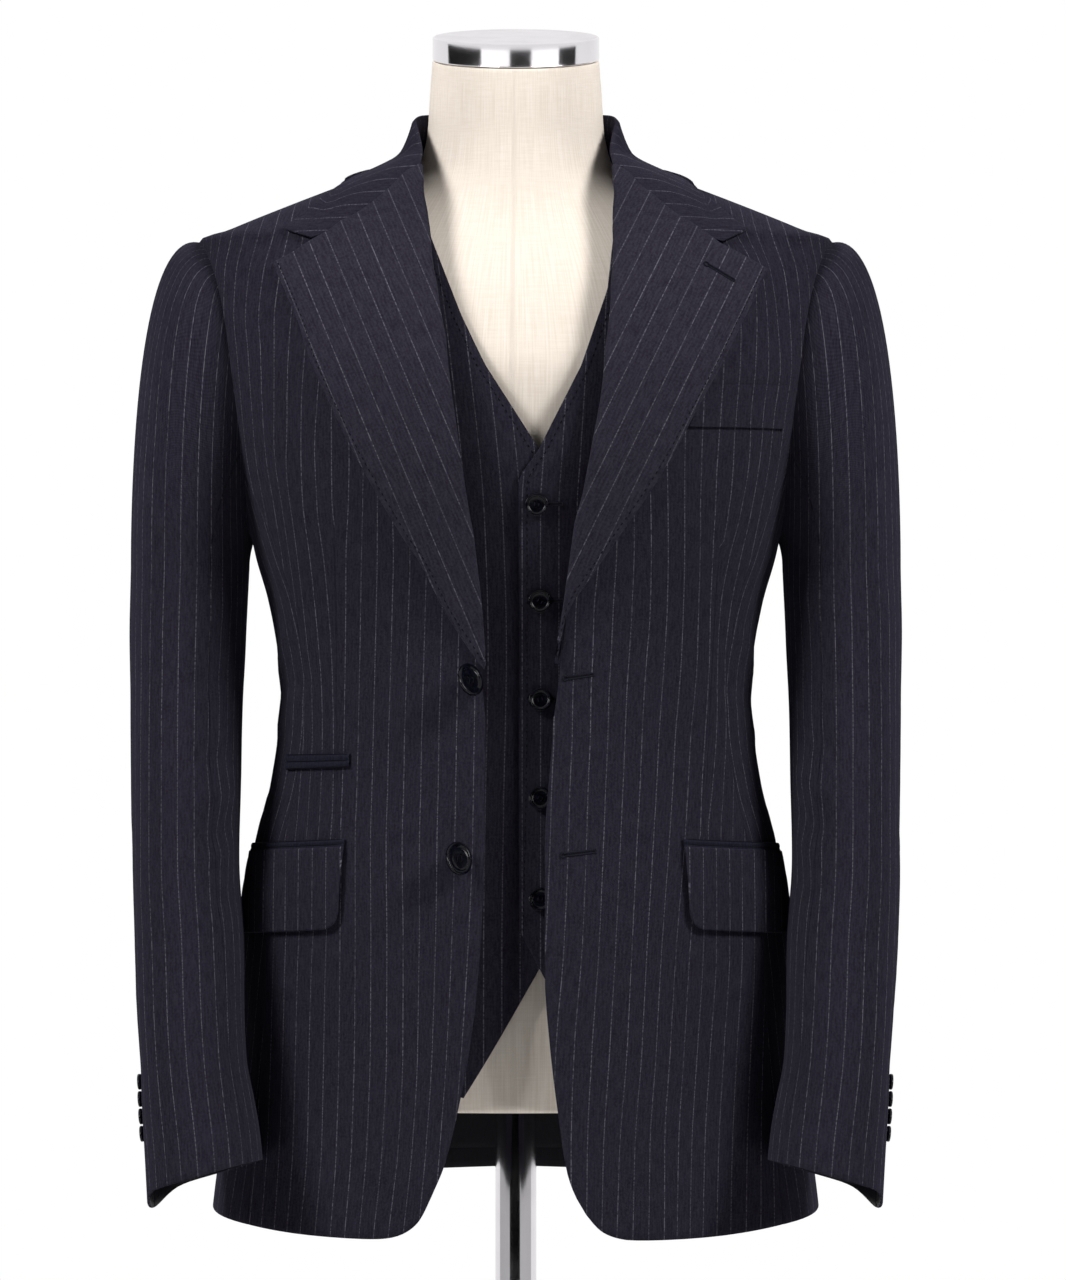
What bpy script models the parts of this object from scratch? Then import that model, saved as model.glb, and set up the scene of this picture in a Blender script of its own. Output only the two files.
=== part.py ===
"""Pinstripe suit jacket and waistcoat worn by a limbless dress form on a stand.

The front faces -Y, +X is the wearer's left, +Z is up. The origin is the centre of the base's underside.
Tables are in millimetres; the meshes are built in metres.
"""

import math

import bpy
import numpy as np

MM = 0.001
WORN = {-1: "right", 1: "left"}
CLOTH = 1.8  # wall of the jacket cloth with its backing
THIN_CLOTH = 1.4  # wall of the waistcoat cloth
GORGE_GAP = 0.6  # each side of the gorge seam
EDGE_GAP = 3.0  # the front panel stops this far short of its edge, under the lapel's turn
OVER = 1.5  # how far a piece stands off the panel that it lies on

# Jacket outside: one row per horizontal slice.
JACKET = (
    # height, half_width, front, back, roundness
    (560, 214, 133, 130, 2.40),
    (590, 211, 132, 128, 2.40),
    (680, 199, 130, 126, 2.40),
    (756, 192, 127, 124, 2.40),
    (798, 187, 124.5, 121, 2.40),
    (840, 181, 121, 116, 2.35),
    (882, 171, 118, 110, 2.30),
    (924, 165.5, 116, 106, 2.30),
    (952, 165, 116, 105, 2.30),
    (980, 168, 117, 106, 2.30),
    (1008, 173, 120, 109, 2.35),
    (1036, 181, 125, 114, 2.40),
    (1054, 185, 128, 117, 2.45),
    (1086, 193, 133, 121, 2.50),
    (1113, 200, 135, 124, 2.50),
    (1140, 206, 134, 126, 2.50),
    (1160, 209, 132, 127, 2.50),
    (1197, 214, 122, 125, 2.40),
    (1235, 217, 104, 113, 2.30),
    (1250, 218, 95, 104, 2.25),
    (1258, 221, 90.5, 98.5, 2.20),
    (1265, 203, 87.5, 94.5, 2.20),
    (1272, 186, 85, 91, 2.20),
    (1283, 158, 82.5, 86.5, 2.20),
    (1294, 129, 79, 83, 2.20),
    (1305, 99, 75, 79, 2.20),
    (1315, 80, 71, 75, 2.20),
    (1330, 71.5, 66, 71, 2.20),
    (1345, 67, 62, 68, 2.20),
    (1362, 65.5, 60, 66, 2.20),
)
# The linen body under both garments, up to the foot of the neck cap.
FORM = (
    # height, half_width, front, back, roundness
    (660, 177, 97, 107, 2.17),
    (664, 180, 100, 110, 2.17),
    (700, 179, 99, 109, 2.17),
    (756, 174, 96, 107, 2.17),
    (840, 164.5, 91, 99, 2.18),
    (924, 150, 87, 90, 2.17),
    (952, 149.5, 87.5, 89, 2.17),
    (1008, 157, 92.5, 93, 2.18),
    (1054, 166, 100.5, 97, 2.17),
    (1113, 178, 110, 107, 2.17),
    (1160, 186, 113.5, 111, 2.18),
    (1197, 187, 105, 107, 2.17),
    (1225, 182, 94, 98, 2.18),
    (1245, 166, 84, 88, 2.17),
    (1262, 138, 75, 78, 2.15),
    (1276, 108, 69, 71, 2.10),
    (1290, 84, 65, 67, 2.05),
    (1308, 70, 62, 63, 2.00),
    (1335, 62.8, 60, 60.5, 2.00),
    (1360, 61.2, 60, 60, 2.00),
    (1386, 59.2, 59.2, 59.2, 2.00),
)
WAISTCOAT_INSET = 8.5  # inside the jacket's outside, at the sides and the back
WAISTCOAT_DEEPER = (  # height, inside the jacket's front, which hangs open and clear of it
    (560, 23), (756, 22.5), (924, 20.5), (1008, 18.5), (1054, 17), (1086, 15.5), (1130, 13),
    (1165, 11), (1370, 11),
)

FRONT_EDGE = {  # from the corner of the skirt up to where the lapel turns back
    # side: ((height, out_from_centre), ...)
    -1: ((608, 56), (629, 47), (651, 41), (674, 36), (702, 31), (750, 25), (798, 22),
         (855, 20), (932, 20), (965, 20.5)),
    1: ((597, 47), (611, 39), (626, 34), (660, 29), (683, 26), (711, 23), (754, 20),
        (841, 20), (913, 25), (965, 28)),
}
ROLL_LINE = {  # the fold of the lapel, then the neck edge
    -1: ((965, 20.5), (980, 22), (1013, 25), (1047, 29), (1070, 33), (1120, 40),
         (1180, 47), (1215, 53), (1250, 58), (1292, 63), (1300.8, 64)),
    1: ((965, 28), (993, 31), (1029, 37), (1057, 41), (1075, 46), (1113, 53),
        (1140, 58), (1173, 61), (1218, 65), (1292, 66.5), (1300.8, 66.5)),
}
SKIRT_CORNER = {  # the rounded corner, from the front edge round to the level hem
    # side: ((out_from_centre, height), ...)
    -1: ((56, 608), (63, 593), (70, 586), (80, 581), (95, 579), (145, 580), (204, 583)),
    1: ((47, 597), (56, 586), (66, 581), (80, 578.5), (135, 579), (204, 583)),
}
HEM_FRONT, HEM_SIDE, HEM_BACK = 583, 592, 596
LAPEL_EDGE = {  # from the break up to the point
    -1: ((961, 21), (969, 27), (983, 36), (999, 46), (1011, 52), (1036, 64), (1052, 77),
         (1187, 141), (1209, 150), (1236, 163)),
    1: ((965, 28), (995, 33), (1006, 38), (1020, 48), (1035, 58), (1062, 77), (1092, 97),
        (1153, 129), (1197, 152), (1232, 169.5)),
}
GORGE = {  # seam between collar and lapel, from the neck out to the notch
    # side: ((out_from_centre, height), ...)
    -1: ((64, 1302), (73, 1297), (84, 1286), (95, 1277), (106, 1269), (117, 1263),
         (128, 1255.5), (136, 1251.5)),
    1: ((66.5, 1302), (75, 1297), (83, 1288), (93, 1281), (102, 1273), (113, 1264.5),
        (126, 1257.5), (138, 1248)),
}
LAPEL_TOP = {-1: ((136, 1251.5), (150, 1242), (163, 1236)), 1: ((138, 1248), (156, 1239), (169.5, 1232))}
COLLAR_END = {-1: ((136, 1251.5), (158, 1260)), 1: ((138, 1248), (157, 1259))}
# The neck seam and the collar's three lines, each from one end to the other as (turn, height).
NECK_SEAM = ((46, 1290), (92, 1311), (180, 1311))
COLLAR_FOLD = ((180, 1353), (140, 1352), (110, 1348), (90, 1342), (72, 1336), (57, 1322), (43.5, 1302.3))
COLLAR_LEAF = ((180, 1302), (140, 1302.5), (112, 1304), (92, 1307), (79, 1303), (69, 1292), (67.3, 1264))
COLLAR_STAND = ((180, 1312.5), (140, 1312.5), (110, 1312.5), (90, 1312.5),
                (72, 1304.5), (57, 1298.6), (46, 1294))

# Armhole, seen from the side: an egg lying on the jacket's outside.
HOLE_HEIGHT, HOLE_HALF_HEIGHT, HOLE_MIDDLE, HOLE_HALF_WIDTH, HOLE_SCOOP = 1156, 102, 6.5, 71.5, 0.12
HOLE_STEPS = 20  # points round the armhole, from the shoulder forward
SIDE_SEAM_STEP, BACK_SEAM_STEP = 7, 13  # the points where the two side seams end
SIDE_SEAM = ((578, 66), (760, 67), (940, 66), (1040, 66))  # height, turn
LINING_TURN, LINING_UP, LINING_TOP = 122, 14, 900  # the skirt's lining across the back
LINING_GAP, LINING_THICK = 1.9, 0.9
LINING_ROWS, LINING_COLUMNS = 6, 13
BACK_SEAM = ((578, 118), (760, 117), (940, 116), (1040, 113))
SHOULDER_SEAM_BACK = 10  # the shoulder seam lies this far behind the ridge

SLEEVE = (
    # height, centre_x, centre_y, half_width, half_depth
    (1030, 227.95, 2, 40.15, 78),
    (980, 228.95, -6, 39.35, 74),
    (938, 228.95, -15, 37.85, 71),
    (883, 227.95, -32, 36.85, 68),
    (828, 226.75, -50, 35.75, 62),
    (776, 222.85, -69, 36.55, 56),
    (728, 220.15, -86, 35.35, 52.5),
    (697, 217.45, -96, 34.85, 51),
    (671, 213.95, -103, 36.75, 50.5),
    (650, 210.95, -109, 38.05, 50.5),
    (605, 206.45, -121, 38.85, 50.5),
)
ROPE = 1.4  # the sleeve head stands this far out at its seam
CUFF_HEIGHT, CUFF_SLANT, CUFF_LIFT = 621, 10.5, 6  # at the middle, down on the outside, up in front
VENT_DROP, VENT_BACK = 11, 15  # the corner of the vent: how far it hangs, and degrees behind the outside
HIND_SEAM = ((1054, -108), (938, -85), (828, -55), (697, -22), (605, -14))  # height, turn
FORE_SEAM = ((1054, 118), (938, 122), (828, 130), (697, 140), (605, 145))

WAISTCOAT_V = {
    # side: ((height, x), ...), both edges run to the closing edge
    -1: ((1085, 27), (1107, 16), (1165, -21), (1199, -37), (1254, -58), (1296, -70)),
    1: ((1085, 3), (1092, 5), (1107, 16), (1164, 45), (1217, 63), (1296, 72)),
}
WAISTCOAT_CLOSE = {-1: 29, 1: 3}  # x of the closing edge: the wearer's left front laps over
WAISTCOAT_CUTAWAY = {
    # side: (corner of the closing edge, point, hem at the side seam) as (x, height)
    -1: ((29, 781), (-35, 672), (-170, 712)),
    1: ((3, 785), (68, 672), (170, 712)),
}
WAISTCOAT_HOLE = (  # height, turn
    (1042, 90), (1062, 72), (1100, 56), (1150, 50), (1200, 51), (1250, 59), (1281, 84),
)
WAISTCOAT_LAP = 3.2  # the wearer's left front lies this far over the other
WAISTCOAT_HOLE_LOW, WAISTCOAT_NECK = 1042, 1292
LAP_ENDS = (12, 32)  # turns between which the lap fades out
# How far round the back's armhole lies beside the front's, and its turn at the shoulder.
VEST_BACK_SHARE, VEST_BACK_TOP = 0.93, 96

CHEST_POCKET = ((129, 1151), (183, 1153), (182, 1124), (116, 1123))  # corners as (x, height)
TICKET_JETS = ((-156, 901), (-112, 903), (-112, 894), (-156, 891))
FLAP_DEPTH, FLAP_LENGTH, FLAP_TURN, FLAP_CORNER = 52, 147, {-1: 48.8, 1: 48.2}, 10
FLAP_NEAR, FLAP_FAR = 838, 829  # heights of the flap's top at its two ends
FLAP_DRAFT = 2  # the far end is this much shorter
JET_RISE, JET_DEPTH = 7.5, 6.0
JETTING_THICK, WELT_THICK = 1.2, 1.6

NECK_TILT = 13.8  # the neck cap leans forward
NECK_BENDS, NECK_TOP = 1300, 1386
CAP_RADIUS, CAP_BAND, CAP_FOOT, CAP_EDGE, CAP_LIP = 58.4, 14.6, 1386.3, 1.4, 0.8
POLE_RADIUS, BASE_RADIUS, BASE_THICK, TOUCH = 14.4, 170, 10, 0.3
BASE_FOOT_EDGE, BASE_TOP_EDGE = 2, 3

CUFF_BUTTON_LOW, CUFF_BUTTON_STEP = 647.5, 11.3
CUFF_BUTTON_STEPS = (-0.35, -0.15)  # where round the arm they sit, and a place beside them
# Buttons: radius, thickness, and how far the underside stands off the cloth.
FRONT_BUTTON, VEST_BUTTON, CUFF_BUTTON = (11.3, 3.4, 9.9), (7.9, 2.6, 0.9), (5.4, 2.4, 1.6)
BUTTONS_FRONT = (
    # x, height, and how far the button tips to the wearer's left and up: shares of its direction
    (-30.5, 953, 1.25, 0.48),
    (-38, 833, 1.05, 0.20),
)
BUTTONS_WAISTCOAT = ((14.4, 1072), (16.4, 1007), (16.7, 940), (16.7, 873), (16.7, 805))


# How many rows and columns of points each piece has.
BODY_ROWS, SHOULDER_ROWS = 12, 5
FRONT_COLUMNS, SIDE_COLUMNS, BACK_COLUMNS = 8, 5, 7
LAPEL_ROWS, LAPEL_COLUMNS, COLLAR_HALF, COLLAR_COLUMNS = 15, 6, 13, 5
HEAD_ROWS, ARM_ROWS, SLEEVE_TOP_COLUMNS, SLEEVE_UNDER_COLUMNS = 6, 11, 9, 6
VEST_ROWS, VEST_COLUMNS, VEST_POINT_COLUMN, VEST_BACK_COLUMNS = 8, 8, 4, 17
FORM_TURNS, BUTTON_STEPS = 32, 16
SEAM_GAP = 0.15  # each side of a seam between panels
SEAM_BENDS = 1000  # above this height both side seams swing into the armhole
RIM_FADE, SIDE_FADE, LAPEL_FADE, COLLAR_FADE, VEST_FADE = 0.3, 0.6, 0.8, 0.75, 0.35


# The dress form's heights at which its outline is drawn.
FORM_LEVELS = (
    660, 664, 700, 756, 810, 870, 924, 980, 1036, 1080, 1120, 1160,
    1195, 1220, 1238, 1252, 1264, 1276, 1290, 1308, 1335, 1360, 1386,
)


def smooth(xs, ys):
    """A curve through a table's rows that never overshoots them."""
    xs, ys = np.asarray(xs, float), np.asarray(ys, float)
    h = np.diff(xs)
    d = np.diff(ys) / h
    m = np.empty(len(xs))
    m[0], m[-1] = d[0], d[-1]
    for i in range(1, len(xs) - 1):
        if d[i - 1] * d[i] <= 0:
            m[i] = 0
            continue
        m[i] = (h[i - 1] + h[i]) * 3 / ((2 * h[i] + h[i - 1]) / d[i - 1] + (h[i] + 2 * h[i - 1]) / d[i])

    def at(q):
        q = np.clip(q, xs[0], xs[-1])
        i = np.clip(np.searchsorted(xs, q) - 1, 0, len(xs) - 2)
        t = (q - xs[i]) / h[i]
        rise = t * (1 - t) ** 2 * h[i] * m[i] + t * t * (t - 1) * h[i] * m[i + 1]
        return (1 + 2 * t) * (1 - t) ** 2 * ys[i] + t * t * (3 - 2 * t) * ys[i + 1] + rise

    return at


class Body:
    """A worn outline: smooth horizontal slices, wide at the sides, with their own front and back depth."""

    def __init__(self, table, inset=0.0, deeper=((0, 0), (1, 0))):
        """The outline drawn in by inset all round, and in front by deeper's (height, inset) instead."""
        rows = np.array(table, float)
        in_front = np.interp(rows[:, 0], *np.transpose(deeper)) if deeper[-1][1] else inset
        step = np.hypot(np.diff(rows[:, 0]), np.diff(rows[:, 1]))
        way = np.concatenate([[0], np.cumsum(step)])
        self.height, self.wide = smooth(way, rows[:, 0]), smooth(way, rows[:, 1] - inset)
        self.front, self.back = smooth(way, rows[:, 2] - in_front), smooth(way, rows[:, 3] - inset)
        self.round = smooth(way, rows[:, 4])
        self.ways = np.linspace(0, way[-1], 4000)
        self.heights = self.height(self.ways)

    def way(self, z):
        return np.interp(z, self.heights, self.ways)

    def raw(self, turn, way):
        s, c = np.sin(turn), np.cos(turn)
        n = self.round(way)
        deep = np.where(c > 0, self.front(way), self.back(way))
        r = ((np.abs(s) / self.wide(way)) ** n + (np.abs(c) / deep) ** n) ** (-1 / n)
        return np.stack([r * s, -r * c, self.height(way) + 0 * s], -1)

    def at(self, turn, z, off=0.0):
        """Point at a turn (degrees from the front, + to the wearer's left) and a height, moved out by off."""
        turn, way = np.radians(np.asarray(turn, float)), self.way(np.asarray(z, float))
        turn, way, off = np.broadcast_arrays(turn, way, np.asarray(off, float))
        e = 0.02
        across = self.raw(turn + e, way) - self.raw(turn - e, way)
        up = self.raw(turn, way + 2.5) - self.raw(turn, way - 2.5)
        normal = np.cross(across, up)
        normal /= np.maximum(np.linalg.norm(normal, axis=-1, keepdims=True), 1e-9)
        return self.raw(turn, way) + normal * off[..., None]

    def turn_at(self, x, z):
        """The turn on the front where the outline is at this x."""
        way = self.way(np.asarray(z, float))
        n, wide, front = self.round(way), self.wide(way), self.front(way)
        share = np.clip(np.abs(x) / wide, 0, 0.9995)
        return np.degrees(np.arctan2(x, front * (1 - share**n) ** (1 / n)))

    def turn_back(self, y, z, side):
        """The turn where the outline is at this y."""
        way = self.way(np.asarray(z, float))
        n, wide = self.round(way), self.wide(way)
        deep = np.where(np.asarray(y) < 0, self.front(way), self.back(way))
        share = np.clip(np.abs(y) / deep, 0, 0.9995)
        return side * np.degrees(np.arctan2(wide * (1 - share**n) ** (1 / n), -np.asarray(y, float)))


jacket = Body(JACKET)
waistcoat = Body(JACKET, WAISTCOAT_INSET, WAISTCOAT_DEEPER)
form = Body(FORM, 1.0)


def material(name, color, metal=0.0, rough=0.8):
    made = bpy.data.materials.new(name)
    made.use_nodes = True
    shader = made.node_tree.nodes["Principled BSDF"]
    shader.inputs["Base Color"].default_value = (*color, 1)
    shader.inputs["Metallic"].default_value = metal
    shader.inputs["Roughness"].default_value = rough
    return made


def add(name, points, faces, mat):
    mesh = bpy.data.meshes.new(name)
    mesh.from_pydata([tuple(p) for p in np.asarray(points) * MM], [], faces)
    mesh.materials.append(mat)
    obj = bpy.data.objects.new(name, mesh)
    bpy.context.scene.collection.objects.link(obj)
    return obj


def wall(name, outer, inner, mat):
    """A closed solid between two grids of points, rows by columns."""
    rows, cols = outer.shape[:2]
    n = rows * cols
    points = np.concatenate([outer.reshape(-1, 3), inner.reshape(-1, 3)])
    a, b, c = outer[0, 0], outer[0, 1], outer[1, 0]
    flip = np.dot(np.cross(b - a, c - a), outer[0, 0] - inner[0, 0]) < 0
    faces = []
    for j in range(rows - 1):
        for i in range(cols - 1):
            p, q, r, s = j * cols + i, j * cols + i + 1, (j + 1) * cols + i + 1, (j + 1) * cols + i
            faces += [(p, q, r), (p, r, s), (n + p, n + r, n + q), (n + p, n + s, n + r)]
    rim = [i for i in range(cols)] + [j * cols + cols - 1 for j in range(1, rows)]
    rim += [(rows - 1) * cols + i for i in range(cols - 2, -1, -1)]
    rim += [j * cols for j in range(rows - 2, 0, -1)]
    for p, q in zip(rim, rim[1:] + rim[:1]):
        faces += [(q, p, n + p), (q, n + p, n + q)]
    if flip:
        faces = [f[::-1] for f in faces]
    return add(name, points, faces, mat)


def pulled(grid, left=0.0, right=0.0, low=0.0, high=0.0):
    """The grid with its rims drawn in, which leaves a seam's gap."""
    grid = grid.copy()
    rims = (grid[:, 0], grid[:, 1], left), (grid[:, -1], grid[:, -2], right)
    ends = (grid[0], grid[1], low), (grid[-1], grid[-2], high)
    for rim, beside, gap in (*rims, *ends):
        way = beside - rim
        size = np.maximum(np.linalg.norm(way, axis=-1, keepdims=True), 1e-6)
        rim += way / size * np.minimum(gap, size * 0.4)
    return grid


def coons(left, right, low, high, fade=1.0):
    """A patch of (turn, height) between four rims; the low and high rims' shapes fade out over this share."""
    left, right, low, high = (np.asarray(rim, float) for rim in (left, right, low, high))
    s, t = np.linspace(0, 1, len(low))[None, :, None], np.linspace(0, 1, len(left))[:, None, None]
    flat = (1 - s) * left[:, None] + s * right[:, None]
    down, up = np.clip(1 - t / fade, 0, 1), np.clip(1 - (1 - t) / fade, 0, 1)
    return flat + down * (low[None] - flat[:1]) + up * (high[None] - flat[-1:])


def along(points, count):
    """Points spaced evenly along a bent line."""
    points = np.asarray(points, float)
    way = np.concatenate([[0], np.cumsum(np.linalg.norm(np.diff(points, axis=0), axis=1))])
    even = np.linspace(0, way[-1], count)
    return np.stack([np.interp(even, way, points[:, k]) for k in range(points.shape[1])], 1)


def softened(points, times=3):
    """A bent line with its corners cut."""
    points = np.asarray(points, float)
    for _ in range(times):
        a, b = points[:-1] * 0.75 + points[1:] * 0.25, points[:-1] * 0.25 + points[1:] * 0.75
        cut = np.stack([a, b], 1).reshape(-1, points.shape[1])
        points = np.concatenate([points[:1], cut[1:-1], points[-1:]])
    return points


def hole(step):
    """(y, height) of the armhole; step 0 is the shoulder and the steps run forward."""
    a = np.asarray(step, float) / HOLE_STEPS * 2 * math.pi
    y = HOLE_MIDDLE - HOLE_HALF_WIDTH * np.sin(a) * (1 - HOLE_SCOOP * np.cos(a))
    return y, HOLE_HEIGHT + HOLE_HALF_HEIGHT * np.cos(a)


def hole_turns(steps, side):
    y, z = hole(steps)
    return np.stack([jacket.turn_back(y, z, side), z], 1)


def on_front(xz, side):
    """Rows of (out_from_centre, height) on the jacket's front as (turn, height)."""
    xz = np.asarray(xz, float)
    return np.stack([jacket.turn_at(side * xz[:, 0], xz[:, 1]), xz[:, 1]], 1)


def seam(table, heights, side, end):
    """A side seam that swings over to the armhole's end of it."""
    table = np.array(table, float)
    turns = side * smooth(table[:, 0], table[:, 1])(heights)
    swing = np.clip((heights - SEAM_BENDS) / (end[1] - SEAM_BENDS), 0, 1) ** 2
    return np.stack([turns + (end[0] - turns[-1]) * swing, heights], 1)


def shoulder(start, side):
    """The shoulder seam, from the armhole up to the neck."""
    heights = np.linspace(start, NECK_SEAM[1][1], SHOULDER_ROWS + 1)[1:]
    return np.stack([jacket.turn_back(np.full(len(heights), SHOULDER_SEAM_BACK), heights, side), heights], 1)


def neck_turn(z):
    return np.interp(z, [row[1] for row in NECK_SEAM[:2]], [row[0] for row in NECK_SEAM[:2]])


def straight(first, last, cols):
    """Even steps of (turn, height) from one place to another."""
    return first + (last - first) * np.linspace(0, 1, cols)[:, None]


def front_patch(side):
    arm = hole_turns(np.arange(SIDE_SEAM_STEP, -1, -1), side)
    levels = np.linspace(HEM_FRONT, arm[0, 1], BODY_ROWS)
    right = np.concatenate([seam(SIDE_SEAM, levels, side, arm[0])[:-1], arm, shoulder(arm[-1, 1], side)])
    edge = np.array(FRONT_EDGE[side] + ROLL_LINE[side][1:], float)
    z = right[:, 1].copy()
    z[:BODY_ROWS] = np.linspace(SKIRT_CORNER[side][0][1], arm[0, 1], BODY_ROWS)
    out = smooth(edge[:, 0], edge[:, 1])(z)
    left = np.stack([jacket.turn_at(side * out, z), z], 1)
    left[:, 0] = np.where(z > NECK_SEAM[0][1], side * neck_turn(z), left[:, 0])
    low = along(on_front(SKIRT_CORNER[side], side)[:-1], FRONT_COLUMNS)
    low = along(np.concatenate([low[:-1], right[:1]]), FRONT_COLUMNS)
    return coons(left, right, low, straight(left[-1], right[-1], FRONT_COLUMNS), RIM_FADE)


def side_patch(side):
    top = hole_turns(np.linspace(SIDE_SEAM_STEP, BACK_SEAM_STEP, SIDE_COLUMNS), side)
    left = seam(SIDE_SEAM, np.linspace(HEM_FRONT, top[0, 1], BODY_ROWS), side, top[0])
    right = seam(BACK_SEAM, np.linspace(HEM_SIDE, top[-1, 1], BODY_ROWS), side, top[-1])
    return coons(left, right, straight(left[0], right[0], SIDE_COLUMNS), top, SIDE_FADE)


def back_patch(side):
    arm = hole_turns(np.arange(BACK_SEAM_STEP, HOLE_STEPS + 1), side)
    edge = seam(BACK_SEAM, np.linspace(HEM_SIDE, arm[0, 1], BODY_ROWS), side, arm[0])
    right = np.concatenate([edge[:-1], arm, shoulder(arm[-1, 1], side)])
    left = np.stack([np.full(len(right), side * 180.0), right[:, 1]], 1)
    left[:BODY_ROWS, 1] = np.linspace(HEM_BACK, arm[0, 1], BODY_ROWS)
    low, high = (straight(left[k], right[k], BACK_COLUMNS) for k in (0, -1))
    return coons(left, right, low, high, RIM_FADE)


def lay(body, patch, off, thick):
    return body.at(patch[..., 0], patch[..., 1], off), body.at(patch[..., 0], patch[..., 1], off - thick)


def panel(name, body, patch, mat, gaps, thick=CLOTH, off=0.0):
    outer, inner = lay(body, patch, off, thick)
    return wall(name, pulled(outer, *gaps), pulled(inner, *gaps), mat)


def thick_grid(middle, thick):
    """Two grids either side of a middle one, along its own normals."""
    down, across = np.gradient(middle, axis=0), np.gradient(middle, axis=1)
    normal = np.cross(across, down)
    normal /= np.maximum(np.linalg.norm(normal, axis=-1, keepdims=True), 1e-9)
    return middle + normal * thick / 2, middle - normal * thick / 2


# How far the lapel's middle stands off the front, then how it turns over past the fold.
LAPEL_RISE = ((0.0, 3.1), (0.35, 3.5), (0.75, 4.2), (1.0, 4.6))  # share from outer edge to fold, off
FOLD_TURN = ((0.0, 0.0), (1.6, -1.2), (2.4, -3.2), (1.6, -5.2))  # (reach, drop) round the fold


def lapel_grid(side, rows=LAPEL_ROWS, cols=LAPEL_COLUMNS):
    edge = on_front([(x, z) for z, x in LAPEL_EDGE[side]], side)
    outer = along(edge, rows)
    roll = np.array(ROLL_LINE[side], float)
    inner = along(on_front(np.stack([roll[:, 1], roll[:, 0]], 1), side), rows)
    gorge = along(on_front(GORGE[side], side), cols - 2)
    top = along(on_front(LAPEL_TOP[side], side), 3)
    high = np.concatenate([gorge, top[1:]])[::-1] - (0, GORGE_GAP)
    low = outer[0] + (inner[0] - outer[0]) * np.linspace(0, 1, cols)[:, None]
    patch = coons(outer, inner, low, high, LAPEL_FADE)
    rise = np.array(LAPEL_RISE)
    share = np.linspace(0, 1, cols)
    grow = np.clip(np.linspace(0, 1, rows) / 0.12, 0.55, 1)[:, None]
    off = np.interp(share, rise[:, 0], rise[:, 1])[None] * grow
    leaf = jacket.at(patch[..., 0], patch[..., 1], off)
    across = leaf[:, -1] - leaf[:, -2]
    across /= np.linalg.norm(across, axis=-1, keepdims=True)
    normal = jacket.at(patch[:, -1, 0], patch[:, -1, 1], 1) - jacket.at(patch[:, -1, 0], patch[:, -1, 1], 0)
    turn = [leaf[:, -1] + across * a + normal * b * grow for a, b in FOLD_TURN[1:]]
    return np.concatenate([leaf, np.stack(turn, 1)], 1)


# The collar's leaf, crest and stand: how far each stands off the neck.
COLLAR_RISE = ((0.0, 3.1), (0.4, 3.6), (1.0, 4.0))  # share from the leaf's edge to the fold, off
COLLAR_CREST = (1.8, 2.6)  # off, and up
COLLAR_INSIDE = ((0.06, -1.2), (0.5, -2.0), (1, -2.4))  # share from the fold down the stand, off


def collar_grid(half=COLLAR_HALF, cols=COLLAR_COLUMNS):
    """The leaf, the fold and the stand, from the wearer's right end round the back to the left end."""
    lines = {}
    for name, table in (("fold", COLLAR_FOLD), ("leaf", COLLAR_LEAF), ("stand", COLLAR_STAND)):
        lines[name] = along(softened(table), half)
    sides = []
    for side in (-1, 1):
        fold, leaf, stand = (lines[k] * (side, 1) for k in ("fold", "leaf", "stand"))
        gorge = along(on_front(GORGE[side], side), cols - 1)
        tip = on_front(COLLAR_END[side], side)
        end = np.concatenate([gorge, tip[1:]])[::-1] + (0, GORGE_GAP)
        fold = fold + (end[-1] - fold[-1]) * np.linspace(0, 1, half)[:, None] ** 4
        leaf = leaf + (end[0] - leaf[-1]) * np.linspace(0, 1, half)[:, None] ** 3
        low = leaf[0] + (fold[0] - leaf[0]) * np.linspace(0, 1, cols)[:, None]
        patch = coons(leaf, fold, low, end, COLLAR_FADE)
        off = np.interp(np.linspace(0, 1, cols), *zip(*COLLAR_RISE))
        outside = jacket.at(patch[..., 0], patch[..., 1], off)
        ins = []
        for share, off in COLLAR_INSIDE:
            line = fold + (stand - fold) * share
            ins.append(jacket.at(line[:, 0], line[:, 1], off))
        over = jacket.at(fold[:, 0], fold[:, 1], COLLAR_CREST[0])
        over[:, 2] += COLLAR_CREST[1]
        sides.append(np.concatenate([outside, over[:, None], np.stack(ins, 1)], 1))
    return np.concatenate([sides[0][::-1], sides[1][1:]])


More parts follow.
